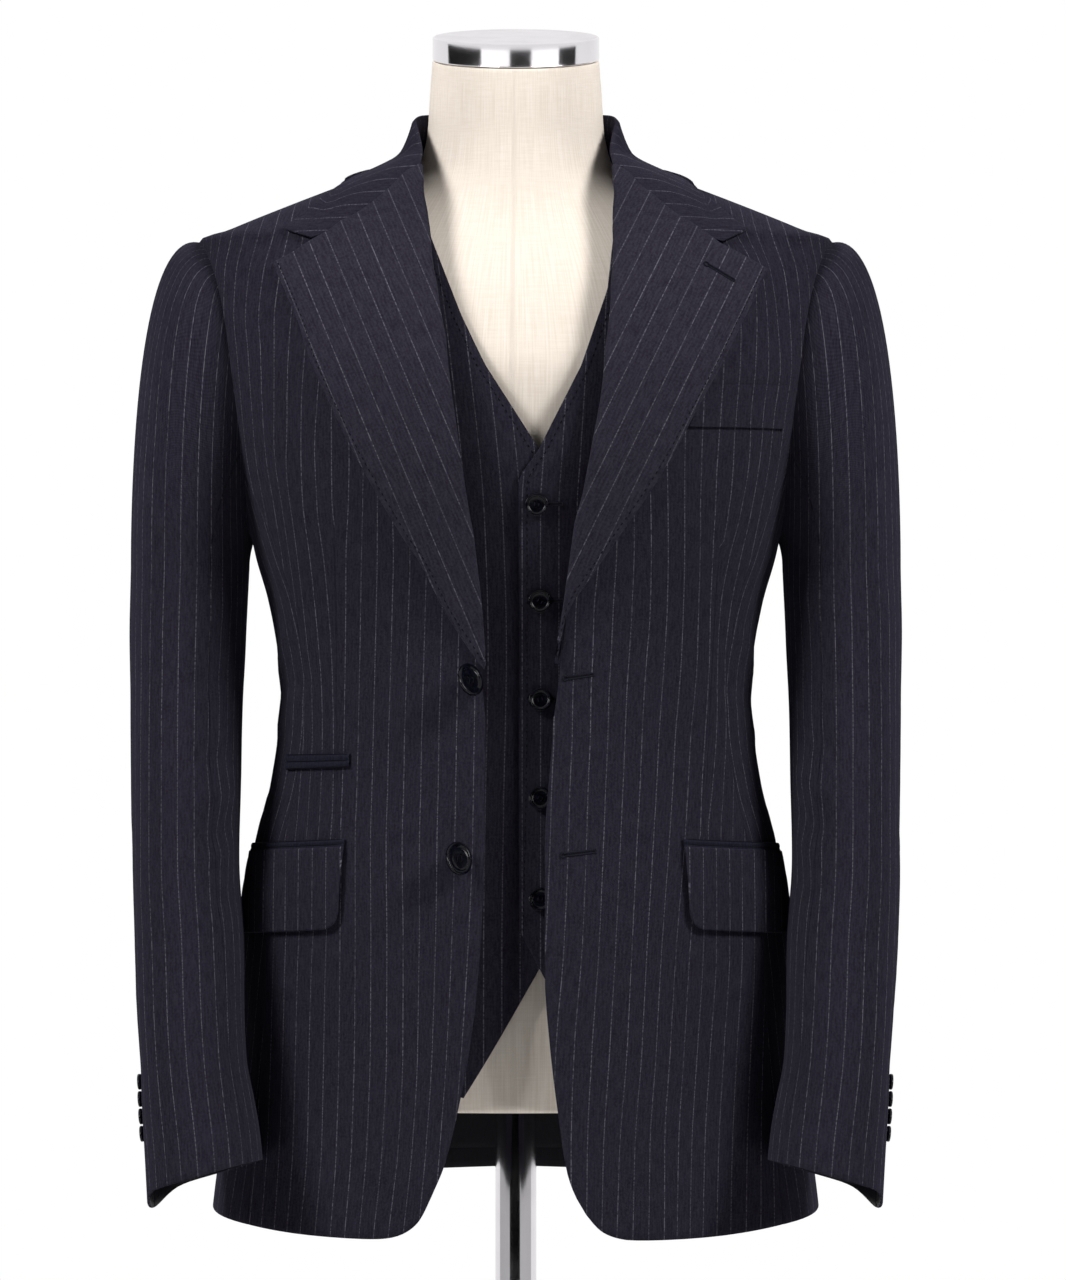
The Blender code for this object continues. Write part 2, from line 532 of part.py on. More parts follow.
def sleeve_grid(side, steps, head_rows=HEAD_ROWS, rows=ARM_ROWS):
    """Rows from the armhole down to the cuff, columns round the arm."""
    table = np.array(SLEEVE, float)
    parts = [smooth(-table[:, 0], table[:, k]) for k in range(1, 5)]

    def ring(turn, z):
        cx, cy, a, b = (part(-z) for part in parts)
        return np.stack([side * (cx + a * np.cos(turn)), cy - b * np.sin(turn), z + 0 * turn], -1)

    turn = np.asarray(steps, float) / HOLE_STEPS * 2 * math.pi
    y, z = hole(steps)
    start = jacket.at(jacket.turn_back(y, z, side), z, ROPE)
    c, s = np.cos(turn), np.sin(turn)
    lead = np.stack([side * (0.62 + 0.45 * c), -0.35 * s, -0.5 + 0.70 * c], 1)  # out, forward and up
    lead /= np.linalg.norm(lead, axis=1, keepdims=True)
    end = ring(turn, np.full(len(turn), table[0, 0]))
    gap = np.linalg.norm(end - start, axis=1, keepdims=True)
    lead = lead * gap * (0.75 - 0.23 * c)[:, None]
    fall = np.stack([0 * c, 0 * c, end[:, 2] - start[:, 2]], 1)
    grid = []
    for t in np.linspace(0, 1, head_rows)[:-1] ** 1.15:
        spot = (1 + 2 * t) * (1 - t) ** 2 * start + t * t * (3 - 2 * t) * end
        grid.append(spot + t * (1 - t) ** 2 * lead + t * t * (t - 1) * fall)
    corner = np.clip(np.cos(turn + math.radians(VENT_BACK)), 0, 1) ** 8
    cuff = CUFF_HEIGHT - CUFF_SLANT * c + CUFF_LIFT * s - VENT_DROP * corner
    for t in np.linspace(0, 1, rows):
        grid.append(ring(turn, table[0, 0] + (cuff - table[0, 0]) * t))
    return np.array(grid)


def drum(name, profile, steps, mat):
    """A turned body from (radius, height) rows; radius 0 closes an end."""
    points, faces = [], []
    rings = []
    for radius, height in profile:
        if radius == 0:
            rings.append([len(points)] * steps)
            points.append((0, 0, height))
            continue
        rings.append(list(range(len(points), len(points) + steps)))
        for k in range(steps):
            a = 2 * math.pi * k / steps
            points.append((radius * math.cos(a), radius * math.sin(a), height))
    for low, high in zip(rings, rings[1:]):
        for k in range(steps):
            m = (k + 1) % steps
            face = [low[k], low[m], high[m], high[k]]
            faces.append([v for n, v in enumerate(face) if v not in face[:n]])
    return add(name, points, faces, mat)


def tilted(points):
    """Leans the neck forward, up to its cap's slope at the top."""
    points = np.array(points, float)
    share = np.clip((points[:, 2] - NECK_BENDS) / (NECK_TOP - NECK_BENDS), 0, 1) ** 1.5
    points[:, 2] += share * math.tan(math.radians(NECK_TILT)) * points[:, 1]
    return points


BUTTON_PROFILE = (  # share of the radius, share of the thickness
    (0, 0), (0.8, 0), (1, 0.35), (1, 0.7), (0.86, 1), (0.66, 0.72), (0, 0.62),
)


def disc_button(name, centre, normal, up, radius, thick, mat):
    """A round button with a raised rim, lying on its normal."""
    normal, up = np.array(normal, float), np.array(up, float)
    normal /= np.linalg.norm(normal)
    side = np.cross(up, normal)
    side /= np.linalg.norm(side)
    up = np.cross(normal, side)
    points, faces, rings = [], [], []
    for r, h in BUTTON_PROFILE:
        count = BUTTON_STEPS if r else 1
        ring = list(range(len(points), len(points) + count))
        rings.append(ring if r else ring * BUTTON_STEPS)
        for k in range(count):
            a = 2 * math.pi * k / BUTTON_STEPS
            around = (side * math.cos(a) + up * math.sin(a)) * r * radius
            points.append(np.array(centre) + around + normal * h * thick)
    for low, high in zip(rings, rings[1:]):
        for k in range(BUTTON_STEPS):
            m = (k + 1) % BUTTON_STEPS
            face = [low[k], low[m], high[m], high[k]]
            faces.append([v for n, v in enumerate(face) if v not in face[:n]])
    return add(name, points, faces, mat)


def bar(name, corners, off, thick, cols, rows, mat, round_low=0.0):
    """A pocket piece over the jacket: (turn, height) of top start, top end, low end, low start."""
    c = np.array(corners, float)
    s, t = np.linspace(0, 1, cols)[None, :, None], np.linspace(0, 1, rows)[:, None, None]
    patch = (1 - t) * ((1 - s) * c[3] + s * c[2]) + t * ((1 - s) * c[0] + s * c[1])
    if round_low:
        s1 = np.linspace(0, 1, cols)
        near = np.minimum(s1, 1 - s1) * np.linalg.norm(c[2] - c[3]) * 2.2
        dip = np.sqrt(np.maximum(round_low**2 - (round_low - near) ** 2, 0))
        lift = np.where(near < round_low, round_low - dip, 0)
        patch[..., 1] += (1 - t[:, :, 0]) ** 2 * lift[None]
    return wall(name, *lay(jacket, patch, off + thick, thick), mat)


def arc_turn(side, turn, z, length):
    """The turn this far round from another one, measured on the cloth."""
    turns = np.linspace(turn, turn + 60, 200)
    ring = jacket.at(side * turns, np.full(200, z))
    way = np.concatenate([[0], np.cumsum(np.linalg.norm(np.diff(ring, axis=0), axis=1))])
    return float(np.interp(length, way, turns))


# ---------------------------------------------------------------- sub-parts
def jacket_body(cloth):
    ends = (SEAM_GAP, SEAM_GAP, 0, SEAM_GAP)
    for side, worn in WORN.items():
        panel(f"jacket_front_{worn}", jacket, front_patch(side), cloth, (EDGE_GAP, *ends[1:]))
        panel(f"jacket_side_{worn}", jacket, side_patch(side), cloth, (SEAM_GAP, SEAM_GAP, 0, 0))
        panel(f"jacket_back_{worn}", jacket, back_patch(side), cloth, ends)


def lapels_and_collar(cloth):
    for side, worn in WORN.items():
        wall(f"lapel_{worn}", *thick_grid(lapel_grid(side), CLOTH), cloth)
    wall("jacket_collar", *thick_grid(collar_grid(), CLOTH), cloth)


def cut_sleeve(skin, first, last, cols):
    """The columns of a three times wrapped sleeve skin between two turns, row by row."""
    turns = first[:, None] + (last - first)[:, None] * np.linspace(0, 1, cols)
    want = turns / 360 * HOLE_STEPS + HOLE_STEPS
    whole = np.floor(want).astype(int)
    part = (want - whole)[..., None]
    rows = np.arange(len(skin))[:, None]
    return skin[rows, whole] * (1 - part) + skin[rows, whole + 1] * part


def sleeves(cloth):
    for side, worn in WORN.items():
        grid = sleeve_grid(side, np.arange(HOLE_STEPS + 1))
        height = np.maximum(grid[:, :, 2].mean(1), SLEEVE[-1][0])
        hind, fore = (smooth(-np.array(t)[:, 0], np.array(t)[:, 1])(-height) for t in (HIND_SEAM, FORE_SEAM))
        skins = thick_grid(np.concatenate([grid[:, :-1]] * 3, 1), CLOTH)
        cuts = (("top", hind, fore, SLEEVE_TOP_COLUMNS), ("under", fore, hind + 360, SLEEVE_UNDER_COLUMNS))
        for name, first, last, cols in cuts:
            parts = [pulled(cut_sleeve(skin, first, last, cols), SEAM_GAP, SEAM_GAP) for skin in skins]
            wall(f"sleeve_{name}_{worn}", *parts, cloth)


def skirt_lining(cloth):
    turns = np.linspace(LINING_TURN, 360 - LINING_TURN, LINING_COLUMNS)
    patch = np.stack(np.meshgrid(turns, np.linspace(HEM_BACK + LINING_UP, LINING_TOP, LINING_ROWS)), -1)
    wall("back_lining", *lay(jacket, patch, -CLOTH - LINING_GAP, LINING_THICK), cloth)


def flap_and_jets(side, worn, cloth, jetting):
    turn = FLAP_TURN[side]
    far = arc_turn(side, turn, FLAP_NEAR, FLAP_LENGTH)
    far_low = arc_turn(side, turn - 1.0, FLAP_NEAR - FLAP_DEPTH, FLAP_LENGTH)
    top = (side * turn, FLAP_NEAR), (side * far, FLAP_FAR)
    low = (side * far_low, FLAP_FAR - FLAP_DEPTH - FLAP_DRAFT), (side * (turn - 0.6), FLAP_NEAR - FLAP_DEPTH)
    bar(f"flap_{worn}", (*top, *low), OVER, CLOTH, 9, 3, cloth, FLAP_CORNER)
    ends = ((side * turn, FLAP_NEAR + JET_RISE), (side * far, FLAP_FAR + JET_RISE))
    feet = [(at, z - JET_DEPTH) for at, z in reversed(ends)]
    bar(f"hip_jets_{worn}", (*ends, *feet), OVER, JETTING_THICK, 9, 2, jetting)


def pockets(cloth, jetting):
    for name, places, thick, cols, mat in (
        ("chest_welt", CHEST_POCKET, WELT_THICK, 6, cloth),
        ("ticket_jets", TICKET_JETS, JETTING_THICK, 5, jetting),
    ):
        corners = [(float(jacket.turn_at(x, z)), z) for x, z in places]
        bar(name, corners, OVER, thick, cols, 2, mat)
    for side, worn in WORN.items():
        flap_and_jets(side, worn, cloth, jetting)


def waistcoat_front(side, worn, cloth):
    corner, point, hem = WAISTCOAT_CUTAWAY[side]
    arm = np.array(WAISTCOAT_HOLE, float)
    levels = np.concatenate([np.linspace(hem[1], WAISTCOAT_HOLE_LOW, VEST_ROWS), arm[1:, 0]])
    right = np.stack([side * np.concatenate([np.full(VEST_ROWS, 90.0), arm[1:, 1]]), levels], 1)
    heights = corner[1], WAISTCOAT_HOLE_LOW, WAISTCOAT_NECK  # the front edge's, beside the side seam's
    z = np.interp(levels, (hem[1], WAISTCOAT_HOLE_LOW, levels[-1]), heights)
    v = np.array(WAISTCOAT_V[side], float)
    x = np.where(z < v[0, 0], WAISTCOAT_CLOSE[side], np.interp(z, v[:, 0], v[:, 1]))
    left = np.stack([waistcoat.turn_at(x, z), z], 1)
    low = [(float(waistcoat.turn_at(px, pz)), pz) for px, pz in (corner, point)] + [tuple(right[0])]
    tip = low[1]
    low = along(low, VEST_COLUMNS)
    low[VEST_POINT_COLUMN] = tip
    patch = coons(left, right, low, straight(left[-1], right[-1], VEST_COLUMNS), VEST_FADE)
    fade = 1 - np.clip((np.abs(patch[..., 0]) - LAP_ENDS[0]) / (LAP_ENDS[1] - LAP_ENDS[0]), 0, 1)
    lap = (WAISTCOAT_LAP if side > 0 else 0.0) * np.where(patch[..., 0] * side < 0, 1, fade)
    panel(f"waistcoat_front_{worn}", waistcoat, patch, cloth, (0, SEAM_GAP, 0, 0), THIN_CLOTH, lap)


def waistcoat_back(cloth):
    arm = np.array(WAISTCOAT_HOLE, float)
    hem = WAISTCOAT_CUTAWAY[1][2][1]
    levels = np.concatenate([np.linspace(hem, WAISTCOAT_HOLE_LOW, VEST_ROWS), arm[1:, 0]])
    away = np.concatenate([np.full(VEST_ROWS, 90.0), 180 - arm[1:, 1] * VEST_BACK_SHARE])
    away[-1] = VEST_BACK_TOP
    turns = 180 + np.linspace(-1, 1, VEST_BACK_COLUMNS)[None] * (180 - away[:, None])
    patch = np.stack([turns, levels[:, None] + 0 * turns], -1)
    panel("waistcoat_back", waistcoat, patch, cloth, (2 * SEAM_GAP, 2 * SEAM_GAP, 0, 0), THIN_CLOTH)


def front_buttons(stock):
    radius, thick, off = FRONT_BUTTON
    for k, (x, z, tip_left, tip_up) in enumerate(BUTTONS_FRONT, 1):
        turn = jacket.turn_at(x, z)
        spot = jacket.at(turn, z, off)
        normal = jacket.at(turn, z, off + 1) - spot + np.array([tip_left, 0, tip_up])
        disc_button(f"jacket_button_{k}", spot, normal, (0, 0, 1), radius, thick, stock)
    radius, thick, off = VEST_BUTTON
    off += WAISTCOAT_LAP
    for k, (x, z) in enumerate(BUTTONS_WAISTCOAT, 1):
        turn = waistcoat.turn_at(x, z)
        spot = waistcoat.at(turn, z, off)
        normal = waistcoat.at(turn, z, off + 1) - spot
        disc_button(f"waistcoat_button_{k}", spot, normal, (0, 0, 1), radius, thick, stock)


def cuff_buttons(stock):
    radius, thick, off = CUFF_BUTTON
    for side, worn in WORN.items():
        grid = sleeve_grid(side, np.array(CUFF_BUTTON_STEPS), 2, 60)
        line, beside = grid[1:, 1][::-1], grid[1:, 0][::-1]
        for k in range(4):
            z = CUFF_BUTTON_LOW + CUFF_BUTTON_STEP * k
            spot, higher, near = (
                np.array([np.interp(level, rows[:, 2], rows[:, n]) for n in range(3)])
                for level, rows in ((z, line), (z + 8, line), (z, beside))
            )
            up = higher - spot
            normal = np.cross(near - spot, up)
            normal *= np.sign(normal[0] * side) / np.linalg.norm(normal)
            disc_button(f"cuff_button_{worn}_{k + 1}", spot + normal * off, normal, up, radius, thick, stock)


def dress_form(cover):
    turns = np.linspace(0, 360, FORM_TURNS + 1)[:-1]
    points, faces, rings = [(0, 0, FORM_LEVELS[0])], [], []
    for z in FORM_LEVELS:
        rings.append(list(range(len(points), len(points) + FORM_TURNS)))
        points += [tuple(p) for p in form.at(turns, np.full(FORM_TURNS, z))]
    points.append((0, 0, FORM_LEVELS[-1]))
    for k in range(FORM_TURNS):
        m = (k + 1) % FORM_TURNS
        faces.append([0, rings[0][m], rings[0][k]])
        for low, high in zip(rings, rings[1:]):
            faces.append([low[k], low[m], high[m], high[k]])
        faces.append([rings[-1][k], rings[-1][m], len(points) - 1])
    add("form_torso", tilted(points), faces, cover)


def stand(polished, plate):
    head = CAP_FOOT + CAP_BAND
    cap = ((0, CAP_FOOT), (CAP_RADIUS - CAP_LIP, CAP_FOOT), (CAP_RADIUS, CAP_FOOT + CAP_LIP),
           (CAP_RADIUS, head), (CAP_RADIUS - CAP_EDGE, head + CAP_EDGE), (0, head + CAP_EDGE))
    for vertex in drum("neck_cap", cap, 48, polished).data.vertices:
        vertex.co.z += math.tan(math.radians(NECK_TILT)) * vertex.co.y
    foot, top = BASE_THICK + TOUCH, FORM[0][0] - TOUCH
    drum("pole", ((0, foot), (POLE_RADIUS, foot), (POLE_RADIUS, top), (0, top)), 32, polished)
    rim = (BASE_RADIUS, BASE_FOOT_EDGE), (BASE_RADIUS, BASE_THICK - BASE_TOP_EDGE)
    disc = ((0, 0), (BASE_RADIUS - BASE_FOOT_EDGE, 0), *rim, (BASE_RADIUS - BASE_TOP_EDGE, BASE_THICK),
            (0, BASE_THICK))
    drum("base", disc, 64, plate)


# ---------------------------------------------------------------- build
for old in list(bpy.data.objects):
    bpy.data.objects.remove(old)

navy = material("navy_wool", (0.022, 0.021, 0.031), 0, 0.85)
navy_jet = material("navy_jetting", (0.012, 0.015, 0.026), 0, 0.7)
vest_cloth = material("navy_wool_waistcoat", (0.022, 0.021, 0.031), 0, 0.85)
lining_cloth = material("dark_lining", (0.008, 0.008, 0.011), 0, 0.5)
horn = material("navy_button", (0.010, 0.012, 0.025), 0, 0.2)
linen = material("cream_linen", (0.88, 0.80, 0.70), 0, 0.9)
chrome = material("chrome", (0.72, 0.72, 0.73), 1, 0.12)
base_metal = material("base_plate", (0.62, 0.62, 0.63), 1, 0.25)

jacket_body(navy)
lapels_and_collar(navy)
sleeves(navy)
skirt_lining(lining_cloth)
pockets(navy, navy_jet)
for side, worn in WORN.items():
    waistcoat_front(side, worn, vest_cloth)
waistcoat_back(lining_cloth)
front_buttons(horn)
cuff_buttons(horn)
dress_form(linen)
stand(chrome, base_metal)
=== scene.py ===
"""Looks of a pinstripe suit jacket and waistcoat worn by a limbless dress form on a stand.

The front faces -Y, +X is the wearer's left, +Z is up. Tables are in millimetres and turns in degrees,
from the front round to the wearer's left; the meshes are built in metres.
"""

import math

import bpy
import numpy as np
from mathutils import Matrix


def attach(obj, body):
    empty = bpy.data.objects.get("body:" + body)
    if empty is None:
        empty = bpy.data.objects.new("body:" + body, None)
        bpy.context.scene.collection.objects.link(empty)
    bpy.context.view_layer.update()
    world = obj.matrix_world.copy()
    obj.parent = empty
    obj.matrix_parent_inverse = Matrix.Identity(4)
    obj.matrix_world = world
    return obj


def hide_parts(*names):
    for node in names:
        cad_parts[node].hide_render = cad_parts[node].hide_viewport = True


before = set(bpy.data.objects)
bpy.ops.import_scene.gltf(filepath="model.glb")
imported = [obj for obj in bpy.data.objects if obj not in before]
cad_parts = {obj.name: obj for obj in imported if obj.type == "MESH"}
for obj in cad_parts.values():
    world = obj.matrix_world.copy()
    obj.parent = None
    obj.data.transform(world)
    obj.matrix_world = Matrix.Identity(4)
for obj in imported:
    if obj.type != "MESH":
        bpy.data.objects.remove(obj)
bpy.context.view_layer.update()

MM = 0.001
WORN = {-1: "right", 1: "left"}

# ---------------------------------------------------------------- sizes, as in the part
CLOTH, THIN_CLOTH = 1.8, 1.4  # walls of the jacket and of the waistcoat
GORGE_GAP = 0.6  # the collar and the lapel each stop this far short of the seam between them
OVER = 1.5  # the outer side of a pocket piece stands at least this far off the jacket's outline

JACKET = (
    # height, half_width, front, back, roundness
    (560, 214, 133, 130, 2.40),
    (590, 211, 132, 128, 2.40),
    (680, 199, 130, 126, 2.40),
    (756, 192, 127, 124, 2.40),
    (798, 187, 124.5, 121, 2.40),
    (840, 181, 121, 116, 2.35),
    (882, 171, 118, 110, 2.30),
    (924, 165.5, 116, 106, 2.30),
    (952, 165, 116, 105, 2.30),
    (980, 168, 117, 106, 2.30),
    (1008, 173, 120, 109, 2.35),
    (1036, 181, 125, 114, 2.40),
    (1054, 185, 128, 117, 2.45),
    (1086, 193, 133, 121, 2.50),
    (1113, 200, 135, 124, 2.50),
    (1140, 206, 134, 126, 2.50),
    (1160, 209, 132, 127, 2.50),
    (1197, 214, 122, 125, 2.40),
    (1235, 217, 104, 113, 2.30),
    (1250, 218, 95, 104, 2.25),
    (1258, 221, 90.5, 98.5, 2.20),
    (1265, 203, 87.5, 94.5, 2.20),
    (1272, 186, 85, 91, 2.20),
    (1283, 158, 82.5, 86.5, 2.20),
    (1294, 129, 79, 83, 2.20),
    (1305, 99, 75, 79, 2.20),
    (1315, 80, 71, 75, 2.20),
    (1330, 71.5, 66, 71, 2.20),
    (1345, 67, 62, 68, 2.20),
    (1362, 65.5, 60, 66, 2.20),
)
FORM = (
    # height, half_width, front, back, roundness
    (660, 177, 97, 107, 2.17),
    (664, 180, 100, 110, 2.17),
    (700, 179, 99, 109, 2.17),
    (756, 174, 96, 107, 2.17),
    (840, 164.5, 91, 99, 2.18),
    (924, 150, 87, 90, 2.17),
    (952, 149.5, 87.5, 89, 2.17),
    (1008, 157, 92.5, 93, 2.18),
    (1054, 166, 100.5, 97, 2.17),
    (1113, 178, 110, 107, 2.17),
    (1160, 186, 113.5, 111, 2.18),
    (1197, 187, 105, 107, 2.17),
    (1225, 182, 94, 98, 2.18),
    (1245, 166, 84, 88, 2.17),
    (1262, 138, 75, 78, 2.15),
    (1276, 108, 69, 71, 2.10),
    (1290, 84, 65, 67, 2.05),
    (1308, 70, 62, 63, 2.00),
    (1335, 62.8, 60, 60.5, 2.00),
    (1360, 61.2, 60, 60, 2.00),
    (1386, 59.2, 59.2, 59.2, 2.00),
)
WAISTCOAT_INSET = 8.5
WAISTCOAT_DEEPER = (  # height, inside the jacket's front, which hangs open and clear of it
    (560, 23), (756, 22.5), (924, 20.5), (1008, 18.5), (1054, 17), (1086, 15.5), (1130, 13),
    (1165, 11), (1370, 11),
)

FRONT_EDGE = {
    # side: ((height, out_from_centre), ...)
    -1: ((608, 56), (629, 47), (651, 41), (674, 36), (702, 31), (750, 25), (798, 22),
         (855, 20), (932, 20), (965, 20.5)),
    1: ((597, 47), (611, 39), (626, 34), (660, 29), (683, 26), (711, 23), (754, 20),
        (841, 20), (913, 25), (965, 28)),
}
ROLL_LINE = {
    # side: ((height, out_from_centre), ...)
    -1: ((965, 20.5), (980, 22), (1013, 25), (1047, 29), (1070, 33), (1120, 40),
         (1180, 47), (1215, 53), (1250, 58), (1292, 63), (1300.8, 64)),
    1: ((965, 28), (993, 31), (1029, 37), (1057, 41), (1075, 46), (1113, 53),
        (1140, 58), (1173, 61), (1218, 65), (1292, 66.5), (1300.8, 66.5)),
}
SKIRT_CORNER = {
    # side: ((out_from_centre, height), ...)
    -1: ((56, 608), (63, 593), (70, 586), (80, 581), (95, 579), (145, 580), (204, 583)),
    1: ((47, 597), (56, 586), (66, 581), (80, 578.5), (135, 579), (204, 583)),
}
HEM_FRONT, HEM_SIDE, HEM_BACK = 583, 592, 596
LAPEL_EDGE = {
    # side: ((height, out_from_centre), ...)
    -1: ((961, 21), (969, 27), (983, 36), (999, 46), (1011, 52), (1036, 64), (1052, 77),
         (1187, 141), (1209, 150), (1236, 163)),
    1: ((965, 28), (995, 33), (1006, 38), (1020, 48), (1035, 58), (1062, 77), (1092, 97),
        (1153, 129), (1197, 152), (1232, 169.5)),
}
GORGE = {
    # side: ((out_from_centre, height), ...)
    -1: ((64, 1302), (73, 1297), (84, 1286), (95, 1277), (106, 1269), (117, 1263),
         (128, 1255.5), (136, 1251.5)),
    1: ((66.5, 1302), (75, 1297), (83, 1288), (93, 1281), (102, 1273), (113, 1264.5),
        (126, 1257.5), (138, 1248)),
}
LAPEL_TOP = {-1: ((136, 1251.5), (150, 1242), (163, 1236)), 1: ((138, 1248), (156, 1239), (169.5, 1232))}
COLLAR_END = {-1: ((136, 1251.5), (158, 1260)), 1: ((138, 1248), (157, 1259))}
# The neck seam and the collar's three lines, as (turn, height).
NECK_SEAM = ((46, 1290), (92, 1311), (180, 1311))
COLLAR_FOLD = ((180, 1353), (140, 1352), (110, 1348), (90, 1342), (72, 1336), (57, 1322), (43.5, 1302.3))
COLLAR_LEAF = ((180, 1302), (140, 1302.5), (112, 1304), (92, 1307), (79, 1303), (69, 1292), (67.3, 1264))
COLLAR_STAND = ((180, 1312.5), (140, 1312.5), (110, 1312.5), (90, 1312.5),
                (72, 1304.5), (57, 1298.6), (46, 1294))

HOLE_HEIGHT, HOLE_HALF_HEIGHT, HOLE_MIDDLE, HOLE_HALF_WIDTH, HOLE_SCOOP = 1156, 102, 6.5, 71.5, 0.12
HOLE_STEPS = 20
SIDE_SEAM_STEP, BACK_SEAM_STEP = 7, 13
SIDE_SEAM = ((578, 66), (760, 67), (940, 66), (1040, 66))  # height, turn
BACK_SEAM = ((578, 118), (760, 117), (940, 116), (1040, 113))
SEAM_BENDS = 1000  # above this height both side seams swing into the armhole
LINING_TURN, LINING_UP, LINING_TOP = 122, 14, 900
SHOULDER_SEAM_BACK = 10

SLEEVE = (
    # height, centre_x, centre_y, half_width, half_depth
    (1030, 227.95, 2, 40.15, 78),
    (980, 228.95, -6, 39.35, 74),
    (938, 228.95, -15, 37.85, 71),
    (883, 227.95, -32, 36.85, 68),
    (828, 226.75, -50, 35.75, 62),
    (776, 222.85, -69, 36.55, 56),
    (728, 220.15, -86, 35.35, 52.5),
    (697, 217.45, -96, 34.85, 51),
    (671, 213.95, -103, 36.75, 50.5),
    (650, 210.95, -109, 38.05, 50.5),
    (605, 206.45, -121, 38.85, 50.5),
)
ROPE = 1.4
CUFF_HEIGHT, CUFF_SLANT, CUFF_LIFT = 621, 10.5, 6
VENT_DROP, VENT_BACK = 11, 15
VENT_TOP, VENT_RISE = 735, 0.9  # below this height the hind seam's edges stand up as a cuff vent's
HIND_SEAM = ((1054, -108), (938, -85), (828, -55), (697, -22), (605, -14))  # height, turn
FORE_SEAM = ((1054, 118), (938, 122), (828, 130), (697, 140), (605, 145))

WAISTCOAT_V = {
    # side: ((height, x), ...)
    -1: ((1085, 27), (1107, 16), (1165, -21), (1199, -37), (1254, -58), (1296, -70)),
    1: ((1085, 3), (1092, 5), (1107, 16), (1164, 45), (1217, 63), (1296, 72)),
}
WAISTCOAT_CLOSE = {-1: 29, 1: 3}
WAISTCOAT_CUTAWAY = {
    # side: (corner of the closing edge, point, hem at the side seam) as (x, height)
    -1: ((29, 781), (-35, 672), (-170, 712)),
    1: ((3, 785), (68, 672), (170, 712)),
}
WAISTCOAT_HOLE = (  # height, turn
    (1042, 90), (1062, 72), (1100, 56), (1150, 50), (1200, 51), (1250, 59), (1281, 84),
)
WAISTCOAT_HOLE_LOW, WAISTCOAT_NECK = 1042, 1292
WAISTCOAT_LAP = 3.2

CHEST_POCKET = ((129, 1151), (183, 1153), (182, 1124), (116, 1123))  # corners as (x, height)
TICKET_JETS = ((-156, 901), (-112, 903), (-112, 894), (-156, 891))
FLAP_DEPTH, FLAP_LENGTH, FLAP_TURN = 52, 147, {-1: 48.8, 1: 48.2}
FLAP_SHORT = 6  # the flap and its jets end this far short of that length
FLAP_TOP, JETS_TOP, JETS_LOW = 839.5, 845.5, 838.5  # heights at the front end
FLAP_DROP, FLAP_DROP_LOW = 9, 11  # how much lower the far end is, at the top and along the lower edge

NECK_TILT, NECK_BENDS, NECK_TOP = 13.8, 1300, 1386
CAP_RADIUS, CAP_BAND, CAP_FOOT, CAP_EDGE = 58.4, 14.6, 1386.3, 1.4
LINEN_TOP = 1384.6  # where the linen is tucked in under the cap
POLE_RADIUS, POLE_HEAD, BASE_RADIUS, BASE_THICK = 14.4, 659.7, 170, 10
CLEAR = 0.3  # between the base and the pole's foot

CUFF_BUTTON_LOW, CUFF_BUTTON_STEP = 647.5, 11.3
# Buttons: radius, thickness, and how far the underside stands off the cloth.
FRONT_BUTTON, VEST_BUTTON, CUFF_BUTTON = (11.3, 3.4, 9.9), (7.9, 2.6, 0.9), (5.4, 2.4, 1.6)
BUTTONS_FRONT = (
    # x, height, and how far the button tips to the wearer's left and up: shares of its direction
    (-30.5, 953, 1.25, 0.48),
    (-38, 833, 1.05, 0.20),
)
BUTTONS_WAISTCOAT = ((14.4, 1072), (16.4, 1007), (16.7, 940), (16.7, 873), (16.7, 805))

# ---------------------------------------------------------------- stripes, darts and folds
PITCH = 12.3  # from stripe to stripe
